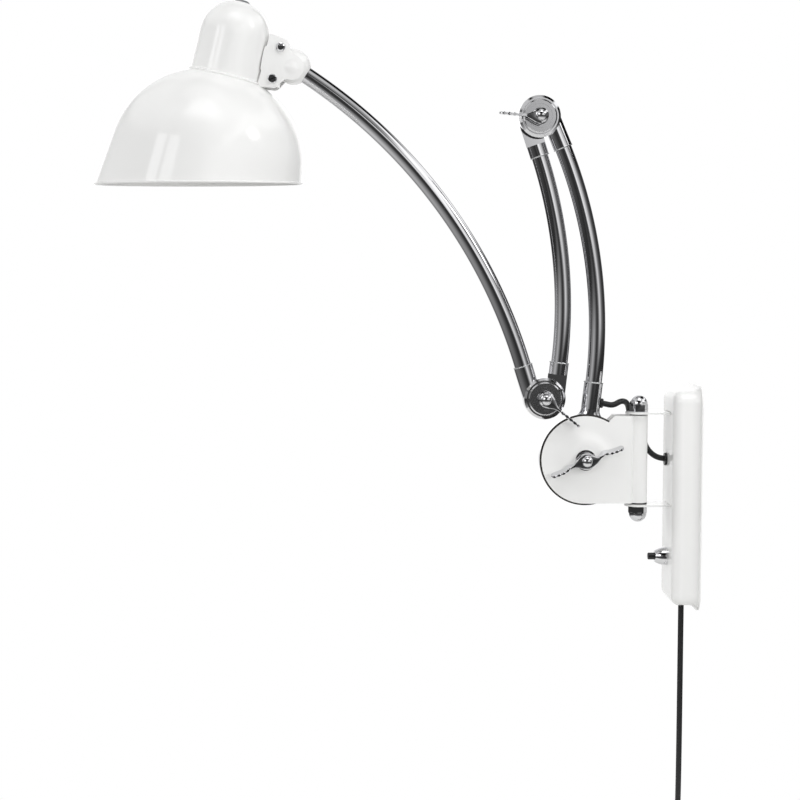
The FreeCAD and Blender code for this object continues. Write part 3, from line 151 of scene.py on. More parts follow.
# opal lamp glass, soft white with a clear gloss
OPAL = shader("opal_glass", "#F4F2EC", 0.2, grain_mm=4.0, Subsurface_Weight=0.3)
# drawn aluminium, pale satin
SHELL = shader("drawn_aluminium", "#C8C9CA", 0.3, 1.0, grain_mm=0.7, lift=0.02)


def plain_stage(name, colour):
    """Backdrop that is pure white to the camera and through glass, and a pale floor to the rest."""
    material, tree = new_material(name)
    path = add(tree, "ShaderNodeLightPath")
    seen = add(tree, "ShaderNodeMath", {0: path.outputs["Is Camera Ray"],
                                        1: path.outputs["Is Transmission Ray"]},
               operation="MAXIMUM")
    diffuse = add(tree, "ShaderNodeBsdfDiffuse", Color=paint(colour))
    glow = add(tree, "ShaderNodeEmission", Color=(1, 1, 1, 1), Strength=1.0)
    mix = add(tree, "ShaderNodeMixShader",
              {0: seen.outputs[0], 1: diffuse.outputs[0], 2: glow.outputs[0]})
    add(tree, "ShaderNodeOutputMaterial", {"Surface": mix.outputs[0]})
    return material


def stage_plane(name, corners, material):
    mesh = bpy.data.meshes.new(name)
    mesh.from_pydata([Vector(c) * MM for c in corners], [], [(0, 1, 2, 3)])
    mesh.materials.append(material)
    made = bpy.data.objects.new(name, mesh)
    scene.collection.objects.link(made)
    return made


PALE = plain_stage("pale_floor", "#F2F2F0")
# the near floor sends light back up to the lamp, the far one only fills the view
stage_plane("floor_near", [(-1250, -900, -640), (650, -900, -640), (650, 900, -640),
                           (-1250, 900, -640)], PALE)
far_floor = stage_plane("floor_far", [(-4000, -4000, -643), (4000, -4000, -643),
                                      (4000, 4000, -643), (-4000, 4000, -643)], PALE)
far_floor.visible_glossy = False
far_floor.visible_diffuse = False

world = bpy.data.worlds.new("studio")
scene.world = world
world.use_nodes = True
sky = world.node_tree
sky.nodes.clear()
ray = add(sky, "ShaderNodeLightPath")
around = add(sky, "ShaderNodeTexCoord")
split = add(sky, "ShaderNodeSeparateXYZ", {0: around.outputs["Generated"]})
to_front = add(sky, "ShaderNodeMath", {0: split.outputs["Y"]}, operation="MULTIPLY")
to_front.inputs[1].default_value = -1.0
heading = add(sky, "ShaderNodeMath", {0: split.outputs["X"], 1: to_front.outputs[0]},
              operation="ARCTAN2").outputs[0]
height = add(sky, "ShaderNodeMath", {0: split.outputs["Z"]}, operation="ARCSINE").outputs[0]

# what mirror surfaces see: a ramp of (degrees, brightness) over headings from the camera's side,
# for the level band, and one over the angle below the horizon, for the floor
LEVEL = [(-180, 0.5), (-142, 0.5), (-130, 0.35), (-96, 0.28), (-70, 0.28), (-60, 0.4),
         (-47, 0.55), (-33, 0.36), (-22, 0.18), (-12, 0.05), (2, 0.05), (11, 0.14), (20, 0.42),
         (28, 0.8), (37, 0.86), (47, 0.5), (60, 0.22), (74, 0.11), (90, 0.045), (128, 0.05),
         (142, 0.3), (180, 0.5)]
FLOOR = [(0, 0.0), (6, 0.03), (10, 0.045), (16, 0.085), (21, 0.16), (25, 0.24), (33, 0.37),
         (41, 0.6), (48, 0.88), (60, 1.05), (90, 1.1)]
below = add(sky, "ShaderNodeMath", {0: height}, operation="MULTIPLY")
below.inputs[1].default_value = -1.0
sources = []
for table, angle, span in ((LEVEL, heading, (-180, 180)), (FLOOR, below.outputs[0], (0, 90))):
    share = add(sky, "ShaderNodeMapRange", {"Value": angle}, From_Min=math.radians(span[0]),
                From_Max=math.radians(span[1]))
    ramp = add(sky, "ShaderNodeValToRGB", {"Fac": share.outputs[0]})
    stops = ramp.color_ramp.elements
    for bearing, _ in table[1:-1]:
        stops.new((bearing - span[0]) / (span[1] - span[0]))
    for stop, (_, value) in zip(stops, table):
        stop.color = (value, value, value, 1)
    sources.append(ramp.outputs[0])
level, mirrored = sources
# cards and lamps of the studio in degrees: left and right heading, low and high edge at heading 0,
# climb of both edges with the heading, softness across and up, brightness; the first is the level
# band itself
for left, right, low, high, climb, soft_x, soft_z, power in (
        (-300, 300, -3.5, 21, 0, 1, 3, level),
        (24, 56, 3, 13.5, 0.53, 8, 3, 1.3),
        (56, 84, 11, 29, 0.3, 8, 4, 1.3),
        (84, 138, 44.5, 60, -0.15, 8, 4, 1.3),
        (62, 76, 24, 34, 0, 4, 3, 6.5),
        (5, 24, 3, 17, 0, 3, 2, 0.85),
        (-34, 30, 52, 76, 0, 14, 9, 2.6),
        (12, 80, 46, 80, 0, 10, 8, 0.6),
        (10, 60, 28, 52, 0, 8, 8, 0.35),
        (-150, -46, 26, 64, 0, 10, 6, 0.7),
        (-300, 300, 74, 120, 0, 1, 6, 0.6),
        (-58, -45, 9, 28, 0, 1.5, 2, 2.8),
        (-41, -27, 9, 28, 0, 1.5, 2, 2.4),
        (-190, -152, -60, 60, 0, 6, 8, 0.9),
        (152, 190, -60, 60, 0, 6, 8, 0.9)):
    raised = add(sky, "ShaderNodeMath", {0: heading, 2: height}, operation="MULTIPLY_ADD")
    raised.inputs[1].default_value = -climb
    parts = []
    for source, first, last, soft in ((heading, left, right, soft_x),
                                      (raised.outputs[0], low, high, soft_z)):
        for edge, begin, end in ((first, 0.0, 1.0), (last, 1.0, 0.0)):
            parts.append(add(sky, "ShaderNodeMapRange", {"Value": source},
                             interpolation_type="SMOOTHSTEP", From_Min=math.radians(edge - soft),
                             From_Max=math.radians(edge + soft), To_Min=begin,
                             To_Max=end).outputs[0])
    lit = parts[0]
    for part in parts[1:] + [power]:
        product = add(sky, "ShaderNodeMath", {0: lit}, operation="MULTIPLY")
        if isinstance(part, float):
            product.inputs[1].default_value = part
        else:
            sky.links.new(part, product.inputs[1])
        lit = product.outputs[0]
    mirrored = add(sky, "ShaderNodeMath", {0: mirrored, 1: lit}, operation="ADD").outputs[0]
glossy = add(sky, "ShaderNodeBackground", {"Strength": mirrored}, Color=(1, 1, 1, 1))
# light from all round for everything but mirror rays, stronger from above
fill_level = add(sky, "ShaderNodeMapRange", {"Value": split.outputs["Z"]}, From_Min=-1.0,
                 From_Max=1.0, To_Min=0.36, To_Max=0.57)
fill = add(sky, "ShaderNodeBackground", {"Strength": fill_level.outputs[0]}, Color=(1, 1, 1, 1))
white = add(sky, "ShaderNodeBackground", Color=(1, 1, 1, 1), Strength=1.0)
studio = add(sky, "ShaderNodeMixShader",
             {0: ray.outputs["Is Glossy Ray"], 1: fill.outputs[0], 2: glossy.outputs[0]})
seen = add(sky, "ShaderNodeMath", {0: ray.outputs["Is Camera Ray"],
                                   1: ray.outputs["Is Transmission Ray"]}, operation="MAXIMUM")
around_lamp = add(sky, "ShaderNodeMixShader", {0: seen.outputs[0], 1: studio.outputs[0],
                                               2: white.outputs[0]})
add(sky, "ShaderNodeOutputWorld", {"Surface": around_lamp.outputs[0]})


LIT_MIDDLE = Vector((-300, 0, 200))


def softbox(name, bearing, rise, away, width, tall, strength):
    """Soft lamp in a direction from the lit middle, in degrees; strength 1 lights white to white."""
    data = bpy.data.lights.new(name, "AREA")
    data.shape = "RECTANGLE"
    data.size, data.size_y = width * MM, tall * MM
    data.energy = strength * math.pi ** 2 * (away * MM) ** 2
    made = bpy.data.objects.new(name, data)
    scene.collection.objects.link(made)
    bearing, rise = math.radians(bearing), math.radians(rise)
    way = Vector((math.sin(bearing) * math.cos(rise), -math.cos(bearing) * math.cos(rise),
                  math.sin(rise)))
    made.location = (LIT_MIDDLE + way * away) * MM
    made.rotation_euler = (-way).to_track_quat("-Z", "Y").to_euler()
    made.visible_glossy = False


softbox("key", 68, 28, 1800, 700, 600, 0.13)
softbox("front_fill", -20, 12, 2300, 1500, 1200, 0.13)
softbox("front_right", 34, 8, 1300, 700, 700, 0.27)
softbox("left_back", -105, 15, 2000, 1100, 1100, 0.36)
softbox("top", 10, 64, 1900, 1200, 900, 0.26)


# ---------------------------------------------------------------- leads

def smooth_lead(name, points, radius):
    """Lead as a NURBS curve through control points in millimetres."""
    curve = bpy.data.curves.new(name, "CURVE")
    curve.dimensions = "3D"
    curve.bevel_depth = radius * MM
    curve.bevel_resolution = 5
    curve.use_fill_caps = True
    spline = curve.splines.new("NURBS")
    spline.points.add(len(points) - 1)
    for target, point in zip(spline.points, points):
        target.co = (*(Vector(point) * MM), 1.0)
    spline.order_u = 3
    spline.use_endpoint_u = True
    spline.resolution_u = 6
    curve.materials.append(SHEATH)
    made = bpy.data.objects.new(name, curve)
    scene.collection.objects.link(made)
    return made


LEAD_R = 3.0
# put-away coil: distance of turns, turns and number of its flat spirals, mean radius and place
COIL_PITCH, SPIRAL, LAYERS = 7.2, 1.375, 4
COIL_R, COIL_X, COIL_Z = 33.0, 17.5, -400.0
STEP_UP = 0.5
HALF_WIDTH = COIL_PITCH * SPIRAL / 2
STOPS_PER_TURN = 16
TURNS = LAYERS * SPIRAL + (LAYERS - 1) * STEP_UP


def coil_point(turns):
    """Put-away turns: in and out in four layers, climbing where the spiral turns back."""
    layer = min(int(turns // (SPIRAL + STEP_UP)), LAYERS - 1)
    within = turns - layer * (SPIRAL + STEP_UP)
    part = min(within / SPIRAL, 1.0)
    climb = max(within - SPIRAL, 0.0) / STEP_UP
    radius = COIL_R + HALF_WIDTH - 2 * HALF_WIDTH * (part if layer % 2 == 0 else 1 - part)
    level = layer + (1 - math.cos(math.pi * climb)) / 2
    angle = 2 * math.pi * turns
    x = -(COIL_X - COIL_PITCH * (LAYERS - 1) / 2) - COIL_PITCH * level
    # control points of a quadratic curve lie a little outside the circle that it follows
    radius /= math.cos(math.pi / STOPS_PER_TURN)
    return (x, radius * math.cos(angle), COIL_Z - radius * math.sin(angle))


coil = [coil_point(TURNS * step / int(TURNS * STOPS_PER_TURN))
        for step in range(int(TURNS * STOPS_PER_TURN) + 1)]
leave_y = COIL_R + HALF_WIDTH
enter = (coil[0][0], leave_y, COIL_Z + 22.0)
tail = [(coil[-1][0], leave_y, COIL_Z - 40.0), (coil[-1][0] - 6.0, leave_y - 10.0, -495.0),
        (coil[-1][0] - 6.0, leave_y - 10.0, -530.0)]
mains_route = [(-12.2, 0, -99.0), (-12.2, 0, -135.0), (-12.2, 0, -335.0), enter, *coil, *tail]
mains = smooth_lead("mains_lead", mains_route, LEAD_R)
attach(mains, "wall_mount")
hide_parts("mains_cord", "cord_coil", "cord_tail")


def spline_length(curve_object):
    """Length of a curve's centreline in metres, and the close points along it."""
    copy = curve_object.data.copy()
    copy.bevel_depth = 0.0
    probe = bpy.data.objects.new("probe", copy)
    scene.collection.objects.link(probe)
    bpy.context.view_layer.update()
    made = probe.evaluated_get(bpy.context.evaluated_depsgraph_get())
    line = bpy.data.meshes.new_from_object(made)
    points = [vertex.co.copy() for vertex in line.vertices]
    bpy.data.objects.remove(probe)
    bpy.data.meshes.remove(line)
    return sum((b - a).length for a, b in zip(points, points[1:])), points


mains_length, _ = spline_length(mains)


# ---------------------------------------------------------------- CAD pieces that stay

def smooth_tree():
    """Welds loose triangles and shades them smooth up to a sharp angle."""
    tree = bpy.data.node_groups.new("weld_and_smooth", "GeometryNodeTree")
    tree.interface.new_socket("Geometry", in_out="INPUT", socket_type="NodeSocketGeometry")
    tree.interface.new_socket("Sharp angle", in_out="INPUT", socket_type="NodeSocketFloat")
    tree.interface.new_socket("Geometry", in_out="OUTPUT", socket_type="NodeSocketGeometry")
    start = add(tree, "NodeGroupInput")
    weld = add(tree, "GeometryNodeMergeByDistance", {"Geometry": start.outputs["Geometry"]},
               Distance=0.000002)
    angle = add(tree, "GeometryNodeInputMeshEdgeAngle")
    soft = add(tree, "FunctionNodeCompare", {"A": angle.outputs["Unsigned Angle"],
                                             "B": start.outputs["Sharp angle"]},
               data_type="FLOAT", operation="LESS_THAN")
    faces = add(tree, "GeometryNodeSetShadeSmooth", {"Geometry": weld.outputs[0]}, domain="FACE")
    edges = add(tree, "GeometryNodeSetShadeSmooth", {"Geometry": faces.outputs[0],
                                                     "Shade Smooth": soft.outputs[0]},
                domain="EDGE")
    add(tree, "NodeGroupOutput", {"Geometry": edges.outputs[0]})
    return tree


SHARP_ANGLE = 32.0
SMOOTH = smooth_tree()
ANGLE = next(item.identifier for item in SMOOTH.interface.items_tree
             if item.name == "Sharp angle")
FINISH = {
    ENAMEL: "wall_cover hinge_bracket swivel_cheeks lamp_cap clamp_plate_near clamp_plate_far "
            "clamp_saddle head_ball shade",
    CHROME: "hinge_nuts switch_bell pivot_drum base_bolt base_wing_nut base_washers arm_1_tube "
            "arm_2_tube arm_3_tube arm_1_elbow arm_2_upper_elbow arm_2_lower_elbow arm_3_elbow "
            "elbow_1_wing_nut elbow_2_wing_nut cap_finial clamp_screws elbow_bolts",
    CHROME_TURNED: "elbow_1_cap elbow_2_cap",
    ZINC: "wall_plate cover_screws bracket_rivets hinge_pin support_rod saddle_screw plug_pins",
    FIBRE_AND_SHADOW: "hinge_washers elbow_washers friction_rings",
    BLACK_AND_SLOT_SHADE: "switch_button push_switch lampholder shade_ring terminal_block plug_body cord_tie "
           "wall_grommet cord_gland arm_1_grommet",
    NYLON: "barrel_bushes",
    OPAL: "bulb_glass",
    SHELL: "bulb_cap",
    SHEATH: "link_flex mains_cord cord_coil cord_tail",
}
for finish, names in FINISH.items():
    for name in names.split():
        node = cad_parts[name]
        if node.material_slots:
            for slot in node.material_slots:
                slot.link = "OBJECT"
                slot.material = finish
        else:
            node.data.materials.append(finish)
        weld = node.modifiers.new("weld_and_smooth", "NODES")
        weld.node_group = SMOOTH
        weld[ANGLE] = math.radians(SHARP_ANGLE)


# ---------------------------------------------------------------- mesh tools

def piece(name, points, faces, finish, frame_at=None, sharp=35.0):
    """Mesh in millimetres, its place in the mesh, shaded smooth up to a sharp angle."""
    mesh = bpy.data.meshes.new(name)
    matrix = frame_at or Matrix.Identity(4)
    mesh.from_pydata([(matrix @ Vector(point)) * MM for point in points], [], faces)
    mesh.materials.append(finish)
    mesh.validate()
    bm = bmesh.new()
    bm.from_mesh(mesh)
    bmesh.ops.remove_doubles(bm, verts=bm.verts, dist=0.000002)
    bmesh.ops.dissolve_degenerate(bm, dist=0.0000005, edges=bm.edges)
    bmesh.ops.recalc_face_normals(bm, faces=bm.faces)
    for edge in bm.edges:
        if len(edge.link_faces) == 2:
            edge.smooth = edge.calc_face_angle(0.0) < math.radians(sharp)
    for face in bm.faces:
        face.smooth = True
    bm.to_mesh(mesh)
    bm.free()
    made = bpy.data.objects.new(name, mesh)
    scene.collection.objects.link(made)
    return made


def rounded(points, radius, steps=5):
    """Polyline whose inner corners are rounded."""
    out = [points[0]]
    for index in range(1, len(points) - 1):
        before, corner, after = (Vector(points[index + k]) for k in (-1, 0, 1))
        one, two = (before - corner), (after - corner)
        angle = one.angle(two, math.pi)
        reach = min(radius / math.tan(angle / 2), one.length * 0.49, two.length * 0.49)
        if reach < 1e-4 or angle > math.radians(179):
            out.append(tuple(corner))
            continue
        start, end = corner + one.normalized() * reach, corner + two.normalized() * reach
        for i in range(steps + 1):
            t = i / steps
            out.append(tuple(start * (1 - t) ** 2 + corner * 2 * t * (1 - t) + end * t ** 2))
    out.append(points[-1])
    return out


def lathe(name, profile, finish, frame_at, steps):
    """Body turned about local Z from (radius, height) points; with no end on the axis, a ring."""
    points, faces, rings = [], [], []
    for radius, height in profile:
        if radius < 1e-4:
            rings.append([len(points)])
            points.append((0, 0, height))
            continue
        rings.append(list(range(len(points), len(points) + steps)))
        for i in range(steps):
            angle = 2 * math.pi * i / steps
            points.append((radius * math.cos(angle), radius * math.sin(angle), height))
    closed = len(rings[0]) > 1 and len(rings[-1]) > 1
    pairs = list(zip(rings, rings[1:])) + ([(rings[-1], rings[0])] if closed else [])
    for low, high in pairs:
        for i in range(steps):
            k = (i + 1) % steps
            if len(low) == 1:
                faces.append((low[0], high[k], high[i]))
            elif len(high) == 1:
                faces.append((low[i], low[k], high[0]))
            else:
                faces.append((low[i], low[k], high[k], high[i]))
    return piece(name, points, faces, finish, frame_at)


def slab(name, outline, low, high, finish, frame_at, edge):
    """Plate from a closed (x, y) outline between two heights, its edges rounded."""
    bm = bmesh.new()
    bm.faces.new([bm.verts.new((x, y, low)) for x, y in outline])
    grown = bmesh.ops.extrude_face_region(bm, geom=list(bm.faces))
    bmesh.ops.translate(bm, vec=(0, 0, high - low),
                        verts=[v for v in grown["geom"] if isinstance(v, bmesh.types.BMVert)])
    bmesh.ops.recalc_face_normals(bm, faces=bm.faces)
    rim = [e for e in bm.edges if len(e.link_faces) == 2
           and e.calc_face_angle(0.0) > math.radians(60)]
    if edge > 0:
        bmesh.ops.bevel(bm, geom=rim, offset=edge, segments=3, affect="EDGES", profile=0.5)
    points = [tuple(v.co) for v in bm.verts]
    bm.verts.index_update()
    faces = [tuple(v.index for v in f.verts) for f in bm.faces]
    bm.free()
    return piece(name, points, faces, finish, frame_at)


def tube_faces(rings, sides):
    """Faces between rings of equal size that follow one another, with both ends closed."""
    faces = [(i * sides + k, (i + 1) * sides + k, (i + 1) * sides + (k + 1) % sides,
              i * sides + (k + 1) % sides) for i in range(rings - 1) for k in range(sides)]
    return faces + [tuple(range(sides))[::-1], tuple((rings - 1) * sides + k for k in range(sides))]


def keep(made, body, slot_name, *nodes):
    """Attaches a finished piece to its body and hides the nodes it stands for; slot_name is not
    used.
    """
    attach(made, body)
    if nodes:
        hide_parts(*nodes)


# ---------------------------------------------------------------- bent tubes

def tube_tree():
    """Round tube swept along a line, with both ends capped."""
    tree = bpy.data.node_groups.new("bent_tube", "GeometryNodeTree")
    tree.interface.new_socket("Geometry", in_out="INPUT", socket_type="NodeSocketGeometry")
    for name, kind in (("Radius", "Float"), ("Sides", "Int"), ("Finish", "Material")):
        tree.interface.new_socket(name, in_out="INPUT", socket_type="NodeSocket" + kind)
    tree.interface.new_socket("Geometry", in_out="OUTPUT", socket_type="NodeSocketGeometry")
    start = add(tree, "NodeGroupInput")
    line = add(tree, "GeometryNodeMeshToCurve", {"Mesh": start.outputs["Geometry"]})
    round_line = add(tree, "GeometryNodeCurvePrimitiveCircle",
                     {"Resolution": start.outputs["Sides"], "Radius": start.outputs["Radius"]})
    swept = add(tree, "GeometryNodeCurveToMesh", {"Curve": line.outputs[0],
                                                  "Profile Curve": round_line.outputs[0]},
                Fill_Caps=True)
    soft = add(tree, "GeometryNodeSetShadeSmooth", {"Geometry": swept.outputs[0]})
    real = add(tree, "GeometryNodeRealizeInstances", {"Geometry": soft.outputs[0]})
    dressed = add(tree, "GeometryNodeSetMaterial", {"Geometry": real.outputs[0],
                                                    "Material": start.outputs["Finish"]})
    add(tree, "NodeGroupOutput", {"Geometry": dressed.outputs[0]})
    return tree


TUBE = tube_tree()
TUBE_R = 8.75
TUBE_SIDES = 144
BEND_STEPS = 150


def grow(name, tree, base, inputs):
    """Runs a Geometry Nodes tree on a mesh and returns the plain result as an object."""
    made = bpy.data.objects.new(name, base)
    scene.collection.objects.link(made)
    growth = made.modifiers.new(tree.name, "NODES")
    growth.node_group = tree
    for item in tree.interface.items_tree:
        if item.in_out == "INPUT" and item.name in inputs:
            growth[item.identifier] = inputs[item.name]
    bpy.context.view_layer.update()
    result = bpy.data.meshes.new_from_object(
        made.evaluated_get(bpy.context.evaluated_depsgraph_get()))
    made.modifiers.remove(growth)
    made.data = result
    result.name = name
    return made


def bent_tube(name, frame_at, offset, start, straight, bend, turn, end, body, node):
    """Arm tube: straight from height start to straight, an arc, then a straight end.

    The arc has the radius bend and leans towards +X for a positive turn. The offset lies along X.
    """
    side = 1 if turn > 0 else -1
    line = [(offset, 0, start), (offset, 0, straight)]
    for i in range(1, BEND_STEPS + 1):
        angle = math.radians(turn) * i / BEND_STEPS
        line.append((offset + side * bend * (1 - math.cos(angle)), 0,
                     straight + side * bend * math.sin(angle)))
    angle = math.radians(turn)
    line.append((line[-1][0] + end * math.sin(angle), 0, line[-1][2] + end * math.cos(angle)))
    base = bpy.data.meshes.new(name + "_line")
    base.from_pydata([(frame_at @ Vector(p)) * MM for p in line],
                     [(i, i + 1) for i in range(len(line) - 1)], [])
    made = grow(name, TUBE, base, {"Radius": TUBE_R * MM, "Sides": TUBE_SIDES,
                                   "Finish": CHROME_TUBE})
    keep(made, body, "chrome", node)
    # turned lips at the mouths of the sleeves that hold the tube
    inner = TUBE_R + 0.1
    lip = [(inner, 0.1), (inner + 0.65, 0.35), (inner + 1.2, 0.1), (inner + 1.45, -0.4),
           (inner + 1.2, -0.9), (inner, -0.9)]
    mouths = [frame_at @ Matrix.Translation((offset, 0, straight))]
    if body != "upper_arm":
        mouths.append(frame_at @ Matrix.Translation(line[-2])
                      @ Matrix.Rotation(math.radians(turn) + math.pi, 4, "Y"))
    for mouth in mouths:
        keep(lathe(name + "_lip", lip, SHELL, mouth, 72), body, "chrome")


# the middle and upper arms stand 11.4 mm beside the elbow bolts that they start from
for name, offset, frame_at, start, straight, bend, turn, end, body in (
        ("arm_1_tube", 0.0, place(PIVOT, LEAN_1), 64.2, 80.5, BEND_1, -TURN_1, 11.0, "lower_arm"),
        ("arm_2_tube", 11.4, place(ELBOW_1, LEAN_2), 27.7, 38.5, BEND_2, TURN_2, 10.8,
         "middle_arm"),
        ("arm_3_tube", -11.4, place(ELBOW_2, LEAN_3), 27.7, 38.5, BEND_3, -TURN_3, 10.0,
         "upper_arm")):
    bent_tube(name + "_skin", frame_at, offset, start, straight, bend, turn, end, body, name)


# ---------------------------------------------------------------- head

def round_corner(x, y, radius, first, last, step):
    """Points on an arc round (x, y), angles in whole degrees, both ends included."""
    return [(x + radius * math.cos(math.radians(a)), y + radius * math.sin(math.radians(a)))
            for a in range(first, last + 1, step)]


def turned_by(name, profile_of, finish, frame_at, steps):
    """Like lathe, but each angle has its own closed (radius, height) loop."""
    loops = [profile_of(2 * math.pi * i / steps) for i in range(steps)]
    count = len(loops[0])
    points = [(r * math.cos(2 * math.pi * i / steps), r * math.sin(2 * math.pi * i / steps), z)
              for i, loop in enumerate(loops) for r, z in loop]
    faces = [(i * count + k, ((i + 1) % steps) * count + k,
              ((i + 1) % steps) * count + (k + 1) % count, i * count + (k + 1) % count)
             for i in range(steps) for k in range(count)]
    return piece(name, points, faces, finish, frame_at)


# shade: depth and slope of the mouth, sheet, rolled rim; its skirt goes on where the dome ends
FLARE_ANGLE = math.radians(7.1)
CUT, CUT_SLOPE, FLARE = 110.7, math.tan(math.radians(13.6)), math.tan(FLARE_ANGLE)
SHEET = 1.2
RIM_R = 1.15


def shade_loop(phi):
    """Section of the shade at one angle: dome, flared skirt and a thin rolled rim."""
    dome_r, centre_x, centre_z = 94.0, 4.5, -88.2
    top, low = math.radians(90 - 20.3), FLARE_ANGLE
    outer = [(20.2, 0.0), (30.0, 0.0), (36.2, -0.02)]
    for i in range(33):
        angle = top + (low - top) * i / 32
        outer.append((centre_x + dome_r * math.cos(angle), centre_z + dome_r * math.sin(angle)))
    knee_r, knee_z = outer[-1]
    lean = math.cos(phi) * CUT_SLOPE
    # the flared side reaches the sloping mouth where -z = CUT - slope * x
    end_z = -(CUT - lean * (knee_r + FLARE * knee_z)) / (1 + lean * FLARE)
    end_r = knee_r + FLARE * (knee_z - end_z)
    for i in range(1, 9):
        share = i / 9
        outer.append((knee_r + (end_r - knee_r) * share, knee_z + (end_z + 2.0 - knee_z) * share))
    bead = [(end_r + 0.55 + RIM_R * math.cos(math.radians(a)),
             end_z + 0.9 + RIM_R * math.sin(math.radians(a))) for a in range(110, -171, -35)]
    inner = [(r - SHEET * 0.99, z + SHEET * 0.1) for r, z in outer[-8:]][::-1]
    for i in range(33):
        angle = low + (top - low) * i / 32
        inner.append((centre_x + (dome_r - SHEET) * math.cos(angle),
                      centre_z + (dome_r - SHEET) * math.sin(angle)))
    inner.append((outer[0][0], inner[-1][1]))
    return outer + bead + inner


keep(turned_by("shade_skin", shade_loop, ENAMEL, HEAD, 192), "head", "white_lacquer", "shade")

# cap over the lampholder: a half ball on a slightly flared neck with a rolled foot
CAP_R, CAP_INNER_R, CAP_Z = 35.6, 34.3, 42
cap_profile = [(0, CAP_Z + CAP_R)]
cap_profile += [(CAP_R * math.cos(math.radians(a)), CAP_Z + CAP_R * math.sin(math.radians(a)))
                for a in range(88, -1, -4)]
cap_profile += [(35.75, 30.0), (36.0, 18.0), (36.25, 6.0), (36.35, 3.0), (36.6, 2.1), (37.2, 1.8),
                (38.0, 1.6), (38.5, 1.0), (38.5, -0.2), (38.2, -0.5), (36.0, -0.1), (35.1, 0.05),
                (34.4, 40.0)]
cap_profile += [(CAP_INNER_R * math.cos(math.radians(a)),
                 CAP_Z + CAP_INNER_R * math.sin(math.radians(a))) for a in range(0, 89, 8)]
cap_profile += [(0, CAP_Z + CAP_INNER_R)]
keep(lathe("cap_skin", cap_profile, ENAMEL, HEAD, 128), "head", "white_lacquer", "lamp_cap")
finial = [(0, 79.1), (2.5, 79.0), (5.0, 78.6), (6.8, 77.9), (7.5, 77.2), (7.5, 76.4), (4.0, 76.2),
          (4.0, 73.8), (0, 73.8)]
keep(lathe("finial_skin", finial, ZINC, HEAD, 64), "head", "chrome", "cap_finial")


PLATE_AT = (CLAMP @ Matrix.Translation((-0.6, 0, -2.2))
            @ Matrix.Rotation(math.radians(2.2), 4, "Y") @ TO_VIEWER)
SCREW_X, SCREW_Z, LUG_R = -15.8, 16.2, 9.3
PLATE_LOBE_R = 12.6
PLATE_IN, PLATE_OUT = 16.4, 17.9


def clamp_outline():
    """Side plate of the ball clamp: notched back edge, two screw lugs and a lobe on the ball."""
    points = [(-29.6, 14.1), (-31.2, 13.0), (-31.4, 6.6), (-30.9, -1.0), (-30.0, -10.0),
              (-28.4, -11.2), (-28.9, -24.6), (-27.2, -27.0), (-22.5, -26.8), (-16.4, -25.4)]
    points += round_corner(SCREW_X, -SCREW_Z, LUG_R, -72, -12, 12)
    points += [(-5.2, -15.2), (-2.6, -12.9)]
    points += round_corner(0, 0, PLATE_LOBE_R, -90, 90, 6)
    points += [(-2.6, 13.2), (-5.0, 15.8)]
    points += round_corner(SCREW_X, SCREW_Z, LUG_R, 12, 90, 12)
    return points + [(-22.0, 26.2), (-28.6, 26.4), (-29.4, 25.2)]


# low dome pressed into each plate over the ball, for the near side
DIMPLE = [(0, 19.5), (1.5, 19.4), (3.2, 19.1), (4.8, 18.6), (6.2, 18.15), (7.6, 17.92),
          (9.0, 17.85), (9.0, 17.4), (0, 17.4)]
for side, name in ((1, "near"), (-1, "far")):
    low, high = sorted((side * PLATE_IN, side * PLATE_OUT))
    plate = slab(f"clamp_plate_{name}_skin", clamp_outline(), low, high, ENAMEL, PLATE_AT, 0.4)
    dome = [(radius, side * height) for radius, height in DIMPLE]
    bump = lathe(f"clamp_dimple_{name}", dome, ENAMEL, PLATE_AT, 64)
    keep(plate, "head", "white_lacquer", f"clamp_plate_{name}")
    keep(bump, "head", "white_lacquer")
# the block between the plates, its back against the cap and its front hollowed for the ball
block = [(-29.0, -22.0), (-8.0, -22.0), (-8.0, -17.5), (-14.0, -12.5), (-17.6, -6.5), (-18.7, 0),
         (-17.6, 6.5), (-14.0, 12.5), (-8.0, 17.5), (-8.0, 22.0), (-29.0, 22.0)]
keep(slab("clamp_saddle_skin", block, -PLATE_IN, PLATE_IN, ENAMEL, PLATE_AT, 0.4), "head",
     "white_lacquer", "clamp_saddle")

BALL_R = 18.0
ball_profile = [(0, BALL_R)]
ball_profile += [(BALL_R * math.sin(math.radians(a)), BALL_R * math.cos(math.radians(a)))
                 for a in range(4, 177, 4)]
ball_profile += [(0, -BALL_R)]
keep(lathe("ball_skin", ball_profile, ENAMEL, CLAMP @ TO_VIEWER, 72), "ball", "white_lacquer",
     "head_ball")

# the upper clamp screw has a socket, the lower one a slot
SCREW_HEADS = {
    "socket": (SCREW_Z, [(0, 1.0), (1.9, 1.0), (1.9, 2.7), (2.2, 3.0), (2.9, 3.0), (3.3, 2.5),
                         (4.4, 1.9), (4.7, 1.2), (4.7, 0.0), (0, 0.0)]),
    "slot": (-SCREW_Z, rounded([(0, 3.0), (3.9, 3.0), (4.7, 2.2), (4.7, 0.0), (0, 0.0)], 0.5)),
}
for kind, (screw_z, profile) in SCREW_HEADS.items():
    at_screw = PLATE_AT @ Matrix.Translation((SCREW_X, screw_z, PLATE_OUT))
    keep(lathe(f"clamp_screw_{kind}", profile, CHROME, at_screw, 48), "head", "chrome",
         "clamp_screws")
# black sheet laid on the last screw's head as the bottom of its slot: painted shade, since the slot
# is not cut
slot_shade_sheet = slab("clamp_screw_slot_shade", [(-3.9, -0.7), (3.9, -0.7), (3.9, 0.7), (-3.9, 0.7)], 2.9, 3.08,
           BLACK_AND_SLOT_SHADE, at_screw @ Matrix.Rotation(math.radians(35), 4, "Z"), 0)
keep(slot_shade_sheet, "head", "black_plastic")


# ---------------------------------------------------------------- clamp nuts

